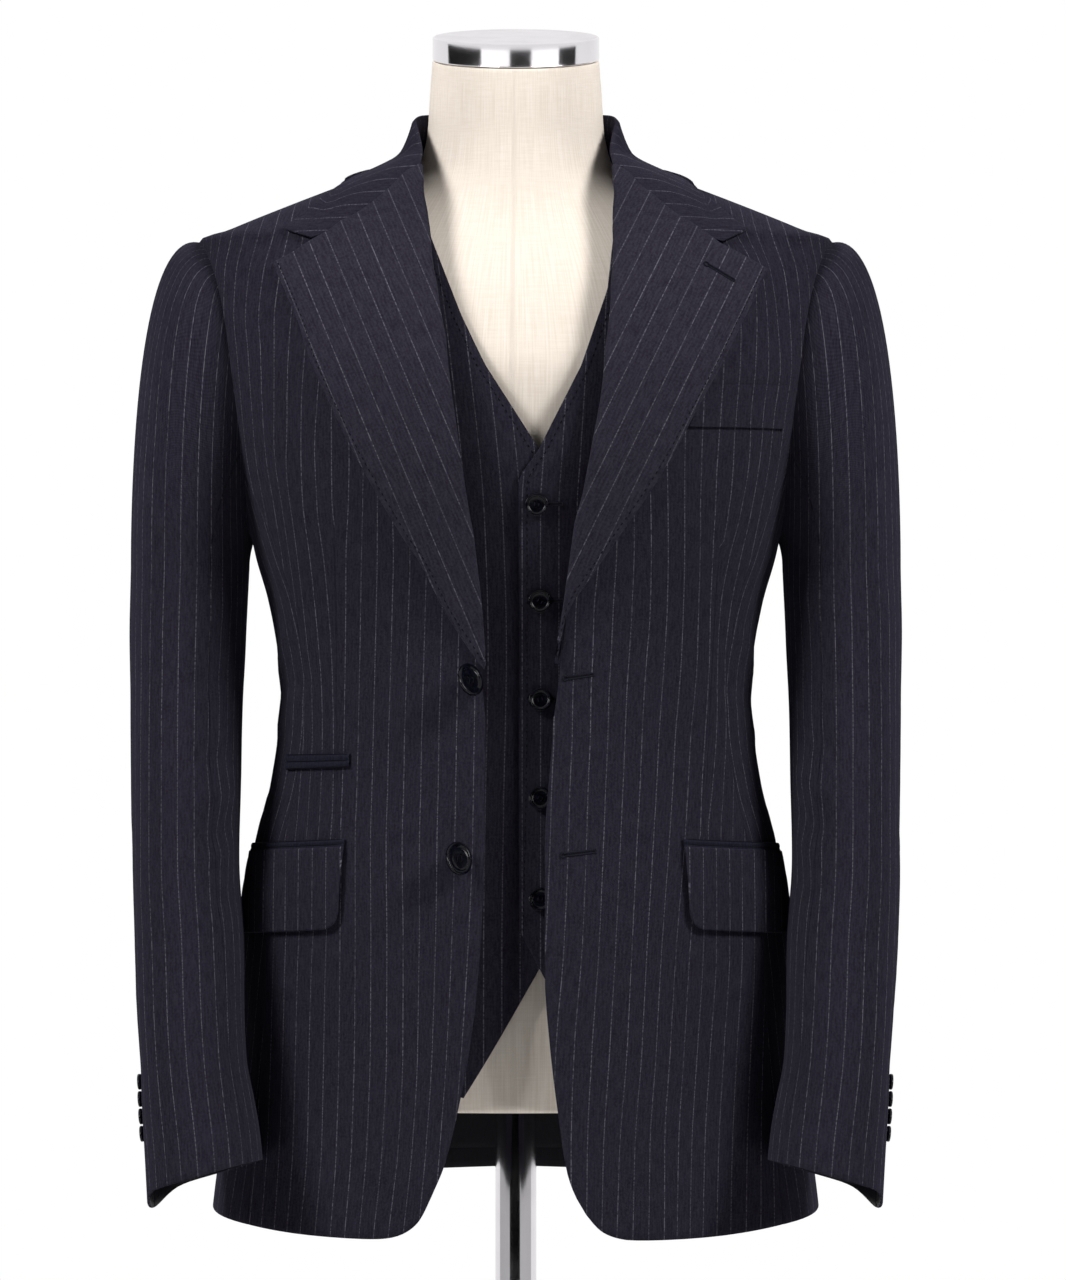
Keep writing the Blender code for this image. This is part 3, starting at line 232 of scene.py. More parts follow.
# Stripes whose lines STRIPE_LINES gives, counted out from the front edge.
LINE_NUMBERS = {-1: (1, 5, 9, 11, 13, 15), 1: (2, 5, 8, 9, 11, 13)}
BEFORE_DART = 9  # the last of them on the front edge's side of the dart
STRIPE_LINES = {
    # side: ((height, how far out each of those stripes runs), ...)
    -1: (
        (580, 45, 85, 124, 145, 163, 181),
        (640, 41, 78, 120, 140, 159.5, 176),
        (704, 36, 75, 118.5, 139, 157.5, 174),
        (775, 31.5, 75, 118, 137, 156, 172),
        (845, 28.5, 76, 118, 125, 142, 157),
        (880, 28, 75, 117, 123.5, 140, 153.5),
        (915, 27.5, 74.5, 116, 123.5, 138.5, 150.5),
        (945, 27, 73.5, 115.5, 124, 139, 150),
        (975, 26.5, 72.5, 115, 125, 142, 153),
        (1005, 26, 71.5, 114.5, 127, 145, 155),
        (1035, 25.5, 70.5, 114, 129.5, 148, 159),
        (1070, 25, 72, 112, 134, 152, 164),
        (1105, 26, 73, 111, 135, 154.5, 169),
        (1140, 28, 75, 113, 133, 154.5, 170.5),
        (1175, 30, 75, 112, 130, 153, 172.5),
        (1200, 30, 74, 110, 129, 151.5, 174.5),
        (1230, 28, 70, 107, 126, 148, 172),
        (1262, 24, 64, 102, 122, 144, 164.5),
        (1300, 20, 60, 98, 118, 140, 160),
    ),
    1: (
        (580, 37.5, 68, 100, 108.5, 126, 145),
        (640, 37.5, 70, 100, 109.5, 127.5, 146.5),
        (704, 39.5, 75, 104, 113.5, 131.5, 150),
        (775, 45, 78.5, 108.5, 118, 136, 154),
        (845, 48, 82, 114.5, 125, 130.5, 148),
        (880, 49, 84, 117, 126.5, 134, 149),
        (915, 50.5, 85.5, 119, 129, 137, 150),
        (945, 51, 87, 122, 131, 138, 149),
        (966, 52, 88.5, 123.5, 132, 138, 148),
        (1000, 53, 91, 124.3, 132.5, 139.5, 153),
        (1035, 56, 91.5, 125, 133.5, 145, 160.5),
        (1065, 57, 91, 125, 135, 152.5, 166.5),
        (1100, 58, 90, 125.3, 136.5, 157.5, 172.5),
        (1135, 59, 91, 126.5, 138.5, 159.5, 176),
        (1165, 60, 92, 127.5, 140.5, 162.5, 180),
        (1200, 60, 92, 128, 141, 164, 178),
        (1230, 58, 90, 127, 140, 163, 174),
        (1262, 52, 86, 119, 131, 150, 164),
        (1300, 48, 82, 114, 126, 146, 160),
    ),
}
DART_LINE = {
    # side: ((height, out_from_centre), ...), from the hem up to the shoulder
    -1: ((577, 134), (700, 129), (775, 127), (850, 121.5), (1000, 121.5), (1080, 122),
         (1150, 122), (1240, 116), (1300, 108)),
    1: ((577, 117), (700, 122), (775, 127), (850, 128.5), (900, 131), (966, 134.5), (1040, 138),
        (1090, 144), (1150, 150), (1240, 150), (1300, 136)),
}
DART = {-1: (847, 1076), 1: (847, 1042)}  # foot and tip
DART_DIP, SEAM_DIP = 0.5, 0.55
STRIPE_TOP = 1240.0  # above this height the stripes' places are measured round this level
SIDE_MIDDLE = 92.0  # turn of the stripe that the side panel counts from
WAISTCOAT_STRIPES = {
    # side: ((height, x of one stripe), ...)
    -1: ((690, -9), (765, -9), (860, -8), (975, -6), (1055, -8), (1179, -20), (1290, -36)),
    1: ((690, 17), (1007, 17), (1071, 17), (1103, 19), (1170, 23), (1201, 24), (1290, 40)),
}
# How much cloth the middle seam of the back takes in, as (height, width).
BACK_TAKEN = ((560, 3), (760, 5), (950, 15), (1100, 6), (1220, 0), (1320, 0))
SLEEVE_SHRINK = 1.05  # the sleeves' stripes stand this much closer
HEAD_LEAN, HEAD_BLEND = 0.6, 0.3  # share of the crown's lean; share of the head that follows the crown
LAPEL_GRAIN = {-1: 0.42, 1: 0.49}  # how far a lapel stripe leans out for each step up
LAPEL_PITCH, LAPEL_PHASE = {-1: 12.65, 1: 13.05}, {-1: 0.0, 1: -1.5}
COLLAR_LAG = 51  # how far a collar stripe lags behind at the leaf's front end
COLLAR_DROP = 1.35  # collar length for each step of height, in front

# Soft folds: a line from the first place to the third, bent toward the second; then how wide it is
# and how deep (+ a ridge, - a trough).
BODY_FOLDS = {
    # side: ((turn, height, turn, height, turn, height, width, depth), ...)
    -1: (
        (63, 1178, 61, 1120, 57, 1062, 9, 1.7), (57, 1170, 55, 1110, 50, 1050, 9, -1.3),
        (72, 1046, 78, 1000, 88, 968, 10, -1.5), (66, 1000, 76, 968, 92, 950, 9, 1.2),
        (60, 958, 76, 944, 96, 940, 8, -1.3), (70, 925, 84, 918, 100, 922, 8, 1.0),
        (104, 1040, 98, 990, 92, 950, 10, -1.6), (112, 1020, 106, 975, 104, 930, 11, 1.3),
        (84, 880, 82, 760, 86, 640, 17, 1.9), (74, 800, 70, 700, 71, 590, 15, -1.6),
        (100, 800, 104, 700, 103, 600, 18, -2.2), (118, 860, 120, 740, 126, 610, 16, 1.7),
        (132, 1120, 128, 1060, 134, 990, 13, -1.5), (146, 1180, 139, 1120, 134, 1050, 12, 1.3),
        (136, 940, 152, 930, 168, 934, 9, -1.3), (128, 960, 146, 956, 164, 964, 9, 1.0),
        (160, 905, 172, 902, 179, 906, 8, -0.9), (146, 800, 150, 700, 156, 606, 19, 1.8),
        (166, 860, 168, 740, 170, 610, 16, -1.5), (160, 1292, 168, 1284, 179, 1282, 8, -0.9),
        (38, 700, 35, 640, 34, 585, 17, 1.2), (20, 760, 24, 690, 30, 620, 15, -0.9),
    ),
    1: (
        (62, 1165, 60, 1110, 57, 1070, 9, 1.2), (56, 1150, 53, 1100, 48, 1056, 9, -1.0),
        (74, 1040, 82, 996, 90, 962, 10, -1.6), (64, 992, 78, 964, 94, 952, 9, 1.3),
        (58, 950, 74, 938, 94, 936, 8, -1.2), (72, 918, 88, 912, 104, 918, 8, 1.1),
        (106, 1034, 100, 986, 95, 946, 10, -1.5), (114, 1016, 108, 970, 107, 926, 11, 1.4),
        (82, 870, 84, 750, 83, 640, 17, 1.7), (72, 810, 72, 705, 68, 590, 15, -1.4),
        (102, 790, 101, 690, 106, 600, 18, -2.1), (120, 850, 124, 730, 122, 610, 16, 1.8),
        (130, 1115, 130, 1050, 136, 985, 13, -1.4), (144, 1186, 140, 1126, 132, 1056, 12, 1.4),
        (138, 946, 150, 940, 166, 942, 9, -1.2), (130, 972, 150, 962, 168, 958, 9, 0.9),
        (148, 790, 147, 700, 152, 606, 19, 1.7), (164, 850, 170, 745, 166, 610, 16, -1.6),
        (158, 1290, 170, 1286, 179, 1282, 8, -0.8), (36, 720, 38, 650, 38, 585, 17, 1.1),
        (18, 740, 22, 680, 27, 612, 15, -0.9),
    ),
}
SLEEVE_FOLDS = {
    # side: the same with steps round the armhole for the turns
    -1: (
        (8.6, 905, 7.2, 896, 5.6, 902, 9, -1.9), (9.0, 884, 7.6, 872, 6.2, 868, 8, 2.0),
        (9.2, 862, 7.8, 850, 6.6, 842, 8, -2.2), (9.0, 838, 7.6, 832, 6.4, 836, 8, 1.5),
        (9.4, 815, 7.8, 806, 6.9, 796, 9, -1.3), (8.4, 968, 7.0, 950, 5.4, 944, 11, -1.2),
        (8.8, 1010, 7.0, 1000, 5.2, 985, 12, 1.1), (11.6, 1010, 12.6, 975, 13.6, 950, 12, -1.3),
        (11.2, 930, 12.8, 905, 14.4, 892, 12, 1.4), (11.0, 880, 12.4, 862, 14.0, 860, 11, -1.6),
        (11.2, 850, 12.8, 836, 14.2, 840, 10, 1.2), (3.0, 1120, 2.6, 1060, 2.8, 1000, 16, 1.0),
        (17.4, 1130, 17.8, 1070, 17.2, 1010, 16, -1.1), (15.6, 1140, 15.2, 1080, 15.6, 1030, 13, 1.3),
        (7.4, 760, 6.4, 720, 6.6, 670, 13, 1.0), (14.6, 780, 14.0, 730, 14.6, 680, 14, -1.0),
        (0.6, 860, 1.0, 800, 0.6, 740, 16, -0.8),
    ),
    1: (
        (8.4, 918, 7.0, 905, 5.8, 908, 9, -1.7), (9.0, 892, 7.8, 880, 6.0, 878, 8, 1.9),
        (9.2, 868, 7.6, 856, 6.4, 850, 8, -2.1), (9.1, 846, 7.8, 838, 6.8, 830, 8, 1.6),
        (9.3, 820, 8.0, 812, 6.8, 806, 9, -1.2), (8.6, 975, 7.2, 960, 5.8, 948, 11, -1.1),
        (8.6, 1016, 6.8, 1004, 5.0, 996, 12, 1.2), (11.4, 1004, 12.4, 980, 13.8, 956, 12, -1.4),
        (11.4, 936, 12.6, 912, 14.0, 900, 12, 1.3), (11.2, 886, 12.6, 870, 14.2, 864, 11, -1.5),
        (11.0, 842, 12.6, 832, 14.0, 836, 10, 1.3), (2.6, 1126, 2.4, 1070, 2.8, 1010, 16, -1.0),
        (17.2, 1136, 17.6, 1080, 17.4, 1020, 16, 1.0), (15.4, 1132, 15.4, 1080, 15.0, 1036, 13, -1.2),
        (7.2, 764, 6.6, 716, 6.8, 664, 13, 1.1), (14.4, 776, 14.2, 720, 14.4, 676, 14, -1.1),
        (0.8, 850, 0.6, 800, 1.0, 730, 16, 0.9),
    ),
}
WAISTCOAT_FOLDS = {
    # side: ((turn, height, turn, height, turn, height, width, depth), ...)
    -1: ((-18, 945, -34, 938, -50, 944, 9, -1.0), (-16, 905, -30, 900, -46, 908, 9, 0.9)),
    1: ((20, 942, 34, 940, 48, 946, 9, -0.9), (18, 900, 34, 902, 46, 906, 9, 0.8)),
}
LINING_FOLDS = (
    # turn, height, turn, height, turn, height, width, depth
    (150, 880, 152, 760, 149, 615, 14, 1.4),
    (178, 890, 181, 760, 179, 612, 7, -2.2),
    (187, 890, 189, 760, 188, 612, 9, 1.6),
    (212, 880, 209, 760, 213, 615, 14, -1.3),
)


# ---------------------------------------------------------------- curves and outlines
def smooth(xs, ys):
    """A curve through a table's rows that never overshoots them."""
    xs, ys = np.asarray(xs, float), np.asarray(ys, float)
    h = np.diff(xs)
    d = np.diff(ys) / h
    m = np.empty(len(xs))
    m[0], m[-1] = d[0], d[-1]
    for i in range(1, len(xs) - 1):
        if d[i - 1] * d[i] <= 0:
            m[i] = 0
            continue
        m[i] = (h[i - 1] + h[i]) * 3 / ((2 * h[i] + h[i - 1]) / d[i - 1] + (h[i] + 2 * h[i - 1]) / d[i])

    def at(q):
        q = np.clip(q, xs[0], xs[-1])
        i = np.clip(np.searchsorted(xs, q) - 1, 0, len(xs) - 2)
        t = (q - xs[i]) / h[i]
        rise = t * (1 - t) ** 2 * h[i] * m[i] + t * t * (t - 1) * h[i] * m[i + 1]
        return (1 + 2 * t) * (1 - t) ** 2 * ys[i] + t * t * (3 - 2 * t) * ys[i + 1] + rise

    return at


def table_curve(rows, column=1):
    rows = np.array(rows, float)
    return smooth(rows[:, 0], rows[:, column])


def ease(q, low, high):
    """0 below low, 1 above high, soft between."""
    t = np.clip((np.asarray(q, float) - low) / (high - low), 0, 1)
    return t * t * (3 - 2 * t)


def unit(vectors):
    return vectors / np.maximum(np.linalg.norm(vectors, axis=-1, keepdims=True), 1e-9)


def lengths(points):
    """How far along a bent line each of its points is."""
    return np.concatenate([[0], np.cumsum(np.linalg.norm(np.diff(points, axis=0), axis=1))])


def row_lengths(grid):
    """How far along its row each point of a grid is."""
    way = np.cumsum(np.linalg.norm(np.diff(grid, axis=1), axis=2), axis=1)
    return np.concatenate([0 * way[:, :1], way], 1)


class Body:
    """A worn outline: smooth horizontal slices, wide at the sides, with their own front and back depth."""

    STEP = 6  # between the heights at which the girth is measured

    def __init__(self, table, inset=0.0, deeper=((0, 0), (1, 0))):
        """The outline drawn in by inset all round, and in front by deeper's (height, inset) instead."""
        rows = np.array(table, float)
        in_front = np.interp(rows[:, 0], *np.transpose(deeper)) if deeper[-1][1] else inset
        step = np.hypot(np.diff(rows[:, 0]), np.diff(rows[:, 1]))
        way = np.concatenate([[0], np.cumsum(step)])
        self.height, self.wide = smooth(way, rows[:, 0]), smooth(way, rows[:, 1] - inset)
        self.front, self.back = smooth(way, rows[:, 2] - in_front), smooth(way, rows[:, 3] - inset)
        self.round = smooth(way, rows[:, 4])
        self.ways = np.linspace(0, way[-1], 4000)
        self.heights = self.height(self.ways)
        self.levels = np.arange(rows[0, 0], rows[-1, 0] + self.STEP, self.STEP)
        turns, levels = np.meshgrid(np.arange(181), self.levels)
        self.girths = row_lengths(self.at(turns, levels)[..., :2])

    def way(self, z):
        return np.interp(z, self.heights, self.ways)

    def raw(self, turn, way):
        s, c = np.sin(turn), np.cos(turn)
        n = self.round(way)
        deep = np.where(c > 0, self.front(way), self.back(way))
        r = ((np.abs(s) / self.wide(way)) ** n + (np.abs(c) / deep) ** n) ** (-1 / n)
        return np.stack([r * s, -r * c, self.height(way) + 0 * s], -1)

    def spot(self, turn, z):
        """Point and outward direction at a turn and a height."""
        turn, way = np.radians(np.asarray(turn, float)), self.way(np.asarray(z, float))
        turn, way = np.broadcast_arrays(turn, way)
        e = 0.02
        across = self.raw(turn + e, way) - self.raw(turn - e, way)
        up = self.raw(turn, way + 2.5) - self.raw(turn, way - 2.5)
        return self.raw(turn, way), unit(np.cross(across, up))

    def at(self, turn, z, off=0.0):
        point, normal = self.spot(turn, z)
        return point + normal * np.asarray(off, float)[..., None]

    def turn_at(self, x, z):
        """The turn on the front where the outline is at this x."""
        way = self.way(np.asarray(z, float))
        n, wide, front = self.round(way), self.wide(way), self.front(way)
        share = np.clip(np.abs(x) / wide, 0, 0.9995)
        return np.degrees(np.arctan2(x, front * (1 - share**n) ** (1 / n)))

    def turn_back(self, y, z, side):
        """The turn where the outline is at this y."""
        way = self.way(np.asarray(z, float))
        n, wide = self.round(way), self.wide(way)
        deep = np.where(np.asarray(y) < 0, self.front(way), self.back(way))
        share = np.clip(np.abs(y) / deep, 0, 0.9995)
        return side * np.degrees(np.arctan2(wide * (1 - share**n) ** (1 / n), -np.asarray(y, float)))

    def girth(self, turn, z):
        """Length round the outline from the middle of the front to this turn."""
        t = np.clip(np.abs(turn), 0, 179.99)
        level = np.clip((np.asarray(z, float) - self.levels[0]) / self.STEP, 0, len(self.levels) - 1.001)
        i, j = t.astype(int), level.astype(int)
        a, b = t - i, level - j
        low = self.girths[j, i] * (1 - a) + self.girths[j, i + 1] * a
        return low * (1 - b) + (self.girths[j + 1, i] * (1 - a) + self.girths[j + 1, i + 1] * a) * b


jacket = Body(JACKET)
waistcoat = Body(JACKET, WAISTCOAT_INSET, WAISTCOAT_DEEPER)
form = Body(FORM, 1.0)


def between(first, last, share):
    """Places at these shares of the way from one place to another."""
    return first + (last - first) * share[:, None]


def along(points, where):
    """Points on a bent line at these shares of its length, or at this many even ones."""
    points = np.asarray(points, float)
    way = lengths(points)
    share = np.linspace(0, 1, where) if np.isscalar(where) else np.asarray(where, float)
    return np.stack([np.interp(share * way[-1], way, points[:, k]) for k in range(points.shape[1])], 1)


def softened(points, rounds=3):
    """A bent line with its corners cut."""
    points = np.asarray(points, float)
    for _ in range(rounds):
        a, b = points[:-1] * 0.75 + points[1:] * 0.25, points[:-1] * 0.25 + points[1:] * 0.75
        cut = np.stack([a, b], 1).reshape(-1, *points.shape[1:])
        points = np.concatenate([points[:1], cut[1:-1], points[-1:]])
    return points


def spread(count, near=0.3):
    """Even shares from 0 to 1, with one more close to each end."""
    even = np.linspace(0, 1, count)
    return np.concatenate([[0, even[1] * near], even[1:-1], [1 - even[1] * near, 1]])


def coons(left, right, low, high, fade, shares):
    """A patch of (turn, height) between four rims; the low and high rims' shapes fade out over this share."""
    left, right, low, high = (np.asarray(rim, float) for rim in (left, right, low, high))
    s, t = shares[None, :, None], np.linspace(0, 1, len(left))[:, None, None]
    flat = (1 - s) * left[:, None] + s * right[:, None]
    down, up = np.clip(1 - t / fade, 0, 1), np.clip(1 - (1 - t) / fade, 0, 1)
    return flat + down * (low[None] - flat[:1]) + up * (high[None] - flat[-1:])


def hole(step):
    """(y, height) of the armhole; step 0 is the shoulder and the steps run forward."""
    a = np.asarray(step, float) / HOLE_STEPS * 2 * math.pi
    y = HOLE_MIDDLE - HOLE_HALF_WIDTH * np.sin(a) * (1 - HOLE_SCOOP * np.cos(a))
    return y, HOLE_HEIGHT + HOLE_HALF_HEIGHT * np.cos(a)


def hole_turns(steps, side):
    y, z = hole(steps)
    return np.stack([jacket.turn_back(y, z, side), z], 1)


def on_front(xz, side):
    """Rows of (out_from_centre, height) on the jacket's front as (turn, height)."""
    xz = np.asarray(xz, float)
    return np.stack([jacket.turn_at(side * xz[:, 0], xz[:, 1]), xz[:, 1]], 1)


def climb(hem, top):
    """Even heights for a body panel's rows, from its hem up to the armhole."""
    return hem + (top - hem) * np.linspace(0, 1, BODY_ROWS)


def seam(table, heights, side, end):
    """A side seam that swings over to the armhole's end of it."""
    turns = side * table_curve(table)(heights)
    swing = np.clip((heights - SEAM_BENDS) / (end[1] - SEAM_BENDS), 0, 1) ** 2
    return np.stack([turns + (end[0] - turns[-1]) * swing, heights], 1)


def shoulder(top, side, rows):
    heights = np.linspace(top, NECK_SEAM[1][1], rows + 1)[1:]
    return np.stack([jacket.turn_back(np.full(rows, SHOULDER_SEAM_BACK), heights, side), heights], 1)


def arm_rim(table, hem, side, steps):
    """A body panel's rim: up its side seam, round its part of the armhole and along the shoulder."""
    arm = hole_turns(np.linspace(*steps, HOLE_ROWS), side)
    line = seam(table, climb(hem, arm[0, 1]), side, arm[0])
    return np.concatenate([line[:-1], arm, shoulder(arm[-1, 1], side, SHOULDER_ROWS)])


def neck_turn(z):
    return np.interp(z, [row[1] for row in NECK_SEAM[:2]], [row[0] for row in NECK_SEAM[:2]])


# ---------------------------------------------------------------- cloth
BODY_ROWS, HOLE_ROWS, SHOULDER_ROWS = 96, 40, 26  # rows of a body panel below, along and above the armhole
RIM = 0.5  # how far a cut edge's rounding reaches out


def off_grid(grid):
    return unit(np.cross(np.gradient(grid, axis=1), np.gradient(grid, axis=0)))


def grid_normals(grid, outside):
    """Directions off a grid, on the side that looks away from this point."""
    normal = off_grid(grid)
    mid = len(grid) // 2
    away = np.sum(normal[mid, :3] * (grid[mid, :3] - np.asarray(outside, float)))
    return normal if away > 0 else -normal


def fold_over(points, normals, folds, place):
    """Presses soft ridges and troughs into the points, along their normals."""
    points = points.copy()
    flat, out = points.reshape(-1, 3), normals.reshape(-1, 3)
    rise = np.zeros(len(flat))
    for *line, wide, deep in folds:
        a, b, c = np.reshape(line, (3, 2))
        t = np.linspace(0, 1, 17)
        bend = np.outer((1 - t) ** 2, a) + np.outer(2 * t * (1 - t), b) + np.outer(t * t, c)
        line = np.array([place(*step) for step in bend])
        near = np.linalg.norm(flat - line.mean(0), axis=1) < np.ptp(line, axis=0).max() + 3 * wide
        gap = np.linalg.norm(flat[near][:, None] - line[None], axis=2)
        k = gap.argmin(1)
        best = gap[np.arange(len(k)), k]
        taper = np.sin(np.pi * np.clip(t[k], 0.0, 1.0)) ** 0.7
        rise[near] += deep * np.exp(-((best / wide) ** 2)) * taper
    flat += out * rise[:, None]
    return points


def cloth_shell(name, skin, normals, thick, uvs, mats, rim=RIM, split=None):
    """A closed wall under a grid of outer points, with its rim rounded: (outside, inside) materials.

    uvs is the cloth's own (across, along) at each point, in millimetres; where the weave jumps at
    a dart, it is a pair of them, and faces from the split column on take the second. Up to that
    column the inside is faced with the outside's own cloth.
    """
    rows, cols = skin.shape[:2]
    count = rows * cols
    index = np.arange(count).reshape(rows, cols)
    loop = np.concatenate([index[0], index[1:, -1], index[-1, -2::-1], index[-2:0:-1, 0]])
    outer, normal = skin.reshape(-1, 3), normals.reshape(-1, 3)
    inner = outer - normal * thick
    away = np.zeros_like(skin)
    away[0] += skin[0] - skin[1]
    away[-1] += skin[-1] - skin[-2]
    away[:, 0] += skin[:, 0] - skin[:, 1]
    away[:, -1] += skin[:, -1] - skin[:, -2]
    away = unit(away.reshape(-1, 3)[loop])
    middle = (outer[loop] + inner[loop]) / 2
    lift = normal[loop] * thick / 2
    angles = np.radians((40, 90, 140))
    rings = [middle + lift * math.cos(a) + away * rim * math.sin(a) for a in angles]
    points = np.concatenate([outer, inner, *rings])
    p, q, r, s = index[:-1, :-1], index[:-1, 1:], index[1:, 1:], index[1:, :-1]
    top = np.stack([p, q, r, s], -1).reshape(-1, 4)
    under = np.stack([p, s, r, q], -1).reshape(-1, 4) + count
    ring = 2 * count + np.arange(len(loop))
    ladders = [loop, ring, ring + len(loop), ring + 2 * len(loop), loop + count]
    bands = [np.stack([np.roll(a, -1), a, b, np.roll(b, -1)], 1) for a, b in zip(ladders, ladders[1:])]
    faces = np.concatenate([top, under, *bands])
    mid = index[rows // 2, cols // 2]
    first = np.cross(outer[mid + 1] - outer[mid], outer[mid + cols] - outer[mid])
    if np.dot(first, normal[mid]) < 0:
        faces = faces[:, ::-1]
    source = np.concatenate([np.arange(count), np.arange(count), loop, loop, loop])
    dart = cols if split is None else split
    if split is None:
        uvs = (uvs, uvs)
    tables = [(np.asarray(uv).reshape(-1, 2) * MM)[source] for uv in uvs]
    column = (source % cols)[faces]
    on_rim = np.arange(len(faces)) >= 2 * len(top)
    past = np.where(on_rim, column.mean(1) > dart, column.min(1) >= dart)
    corners = np.where(past[:, None, None], tables[1][faces], tables[0][faces])
    kinds = np.zeros(len(faces), int)
    kinds[len(top):2 * len(top)] = np.tile(np.arange(cols - 1) >= (split or 0), rows - 1)
    obj = mesh_piece(name, points, faces.tolist(), mats, kinds)
    obj.data.uv_layers.new(name="cloth").data.foreach_set("uv", corners.reshape(-1))
    return obj


def mesh_piece(name, points, faces, mats, kinds=None):
    """A smooth mesh from millimetres; kinds gives each face's material."""
    mesh = bpy.data.meshes.new(name)
    mesh.from_pydata((np.asarray(points, float) * MM).tolist(), [], [list(face) for face in faces])
    for mat in mats:
        mesh.materials.append(mat)
    if kinds is not None:
        mesh.polygons.foreach_set("material_index", kinds)
    mesh.shade_smooth()
    return placed(name, mesh)


def placed(name, data):
    """A new object in the scene."""
    obj = bpy.data.objects.new(name, data)
    bpy.context.scene.collection.objects.link(obj)
    return obj


def finish_piece(obj, slot, *nodes):
    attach(obj, "root")
    if nodes:
        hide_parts(*nodes)


# ---------------------------------------------------------------- finishes
def feed(tree, socket, value):
    """Links an input to another node's output, or gives it a plain value."""
    if isinstance(value, bpy.types.NodeSocket):
        tree.links.new(value, socket)
    elif value is not None:
        socket.default_value = value


def put(tree, kind, *values, **more):
    """Adds a node. Values go to its inputs in order; a capital keyword is an input, a small one a setting."""
    node = tree.nodes.new("ShaderNode" + kind)
    for key, value in more.items():
        if key[0].islower():
            setattr(node, key, value)
    named = [(node.inputs[key.replace("_", " ")], value) for key, value in more.items() if key[0].isupper()]
    for socket, value in [*zip(node.inputs, values), *named]:
        feed(tree, socket, value)
    return node


def result(tree, kind, *values):
    return put(tree, "Math", *values, operation=kind).outputs[0]


def times(tree, first, second):
    return result(tree, "MULTIPLY", first, second)


def plus(tree, first, second):
    return result(tree, "ADD", first, second)


def span(tree, value, low, high, to_low=0.0, to_high=1.0, soft=True):
    """Maps low..high to to_low..to_high."""
    kind = "SMOOTHSTEP" if soft else "LINEAR"
    node = put(tree, "MapRange", value, low, high, to_low, to_high, interpolation_type=kind)
    return node.outputs[0]


def blend(tree, share, first, second, kind="MIX"):
    node = put(tree, "Mix", data_type="RGBA", blend_type=kind)
    for name, value in (("Factor_Float", share), ("A_Color", first), ("B_Color", second)):
        feed(tree, next(s for s in node.inputs if s.identifier == name), value)
    return next(s for s in node.outputs if s.identifier == "Result_Color")


def flat_noise(tree, across, along, scale, detail):
    """Noise over the cloth's own plane."""
    spot = put(tree, "CombineXYZ", across, along).outputs[0]
    return put(tree, "TexNoise", spot, Scale=scale, Detail=detail, noise_dimensions="2D").outputs[0]


def effect(name, ins, outs):
    """An empty node group with number inputs, and its inner input and output nodes."""
    tree = bpy.data.node_groups.new(name, "ShaderNodeTree")
    for way, labels in (("INPUT", ins), ("OUTPUT", outs)):
        for label in labels:
            tree.interface.new_socket(label, in_out=way, socket_type="NodeSocketFloat")
    return tree, tree.nodes.new("NodeGroupInput").outputs, tree.nodes.new("NodeGroupOutput").inputs


def use(tree, group, **values):
    return put(tree, "Group", node_tree=group, **values).outputs


def chalk_stripe_effect():
    """Fine chalk lines along the cloth, broken into short dashes by the weave."""
    tree, given, out = effect("chalk_stripe", ("Across", "Along", "Spacing", "Width", "Breaks"), ("Mask",))
    line = result(tree, "DIVIDE", given["Across"], given["Spacing"])
    number = result(tree, "ROUND", line)
    apart = result(tree, "ABSOLUTE", result(tree, "SUBTRACT", line, number))
    gap = times(tree, apart, given["Spacing"])
    inner, outer = (times(tree, given["Width"], share) for share in (0.25, 0.75))
    body = span(tree, gap, inner, outer, 1.0, 0.0)
    down = times(tree, given["Along"], 620.0)
    dashes = flat_noise(tree, times(tree, number, 3.7), down, 1.0, 2.0)
    faded = flat_noise(tree, times(tree, number, 5.3), times(tree, down, 0.02), 1.0, 2.0)
    broken = times(tree, span(tree, dashes, 0.40, 0.60), given["Breaks"])
    kept = result(tree, "SUBTRACT", 1.0, broken)
    kept = times(tree, kept, span(tree, faded, 0.36, 0.64, 0.55, 1.0, soft=False))
    tree.links.new(times(tree, body, kept), out["Mask"])
    return tree


def twill_effect():
    """Twill ribs with fuzz: Height for the bump, Tone for the colour, and soft unevenness.

    Cloud is broad and faint, Heather is the fleck of mixed yarns, longest along the cloth.
    """
    outs = ("Height", "Tone", "Cloud", "Heather")
    tree, given, out = effect("twill_weave", ("Across", "Along", "Thread"), outs)
    a, b = (result(tree, "DIVIDE", given[way], given["Thread"]) for way in ("Across", "Along"))
    rib = result(tree, "SINE", times(tree, plus(tree, a, b), 3.1416))
    weft = result(tree, "SINE", times(tree, a, 6.2832))
    both = plus(tree, rib, times(tree, weft, 0.35))
    fuzz = flat_noise(tree, a, b, 0.8, 3.0)
    cloud = flat_noise(tree, a, b, 0.035, 3.0)
    height = plus(tree, span(tree, both, -1.35, 1.35, soft=False), fuzz)
    yarns = flat_noise(tree, a, times(tree, b, 0.12), 0.42, 2.0)
    flecks = flat_noise(tree, a, b, 0.33, 3.0)
    heather = plus(tree, times(tree, yarns, 0.5), times(tree, flecks, 0.5))
    tree.links.new(height, out["Height"])
    for label, value, low, high in (("Tone", height, 0.3, 1.7), ("Cloud", cloud, 0.3, 0.7),
                                    ("Heather", heather, 0.36, 0.64)):
        tree.links.new(span(tree, value, low, high, soft=False), out[label])
    return tree


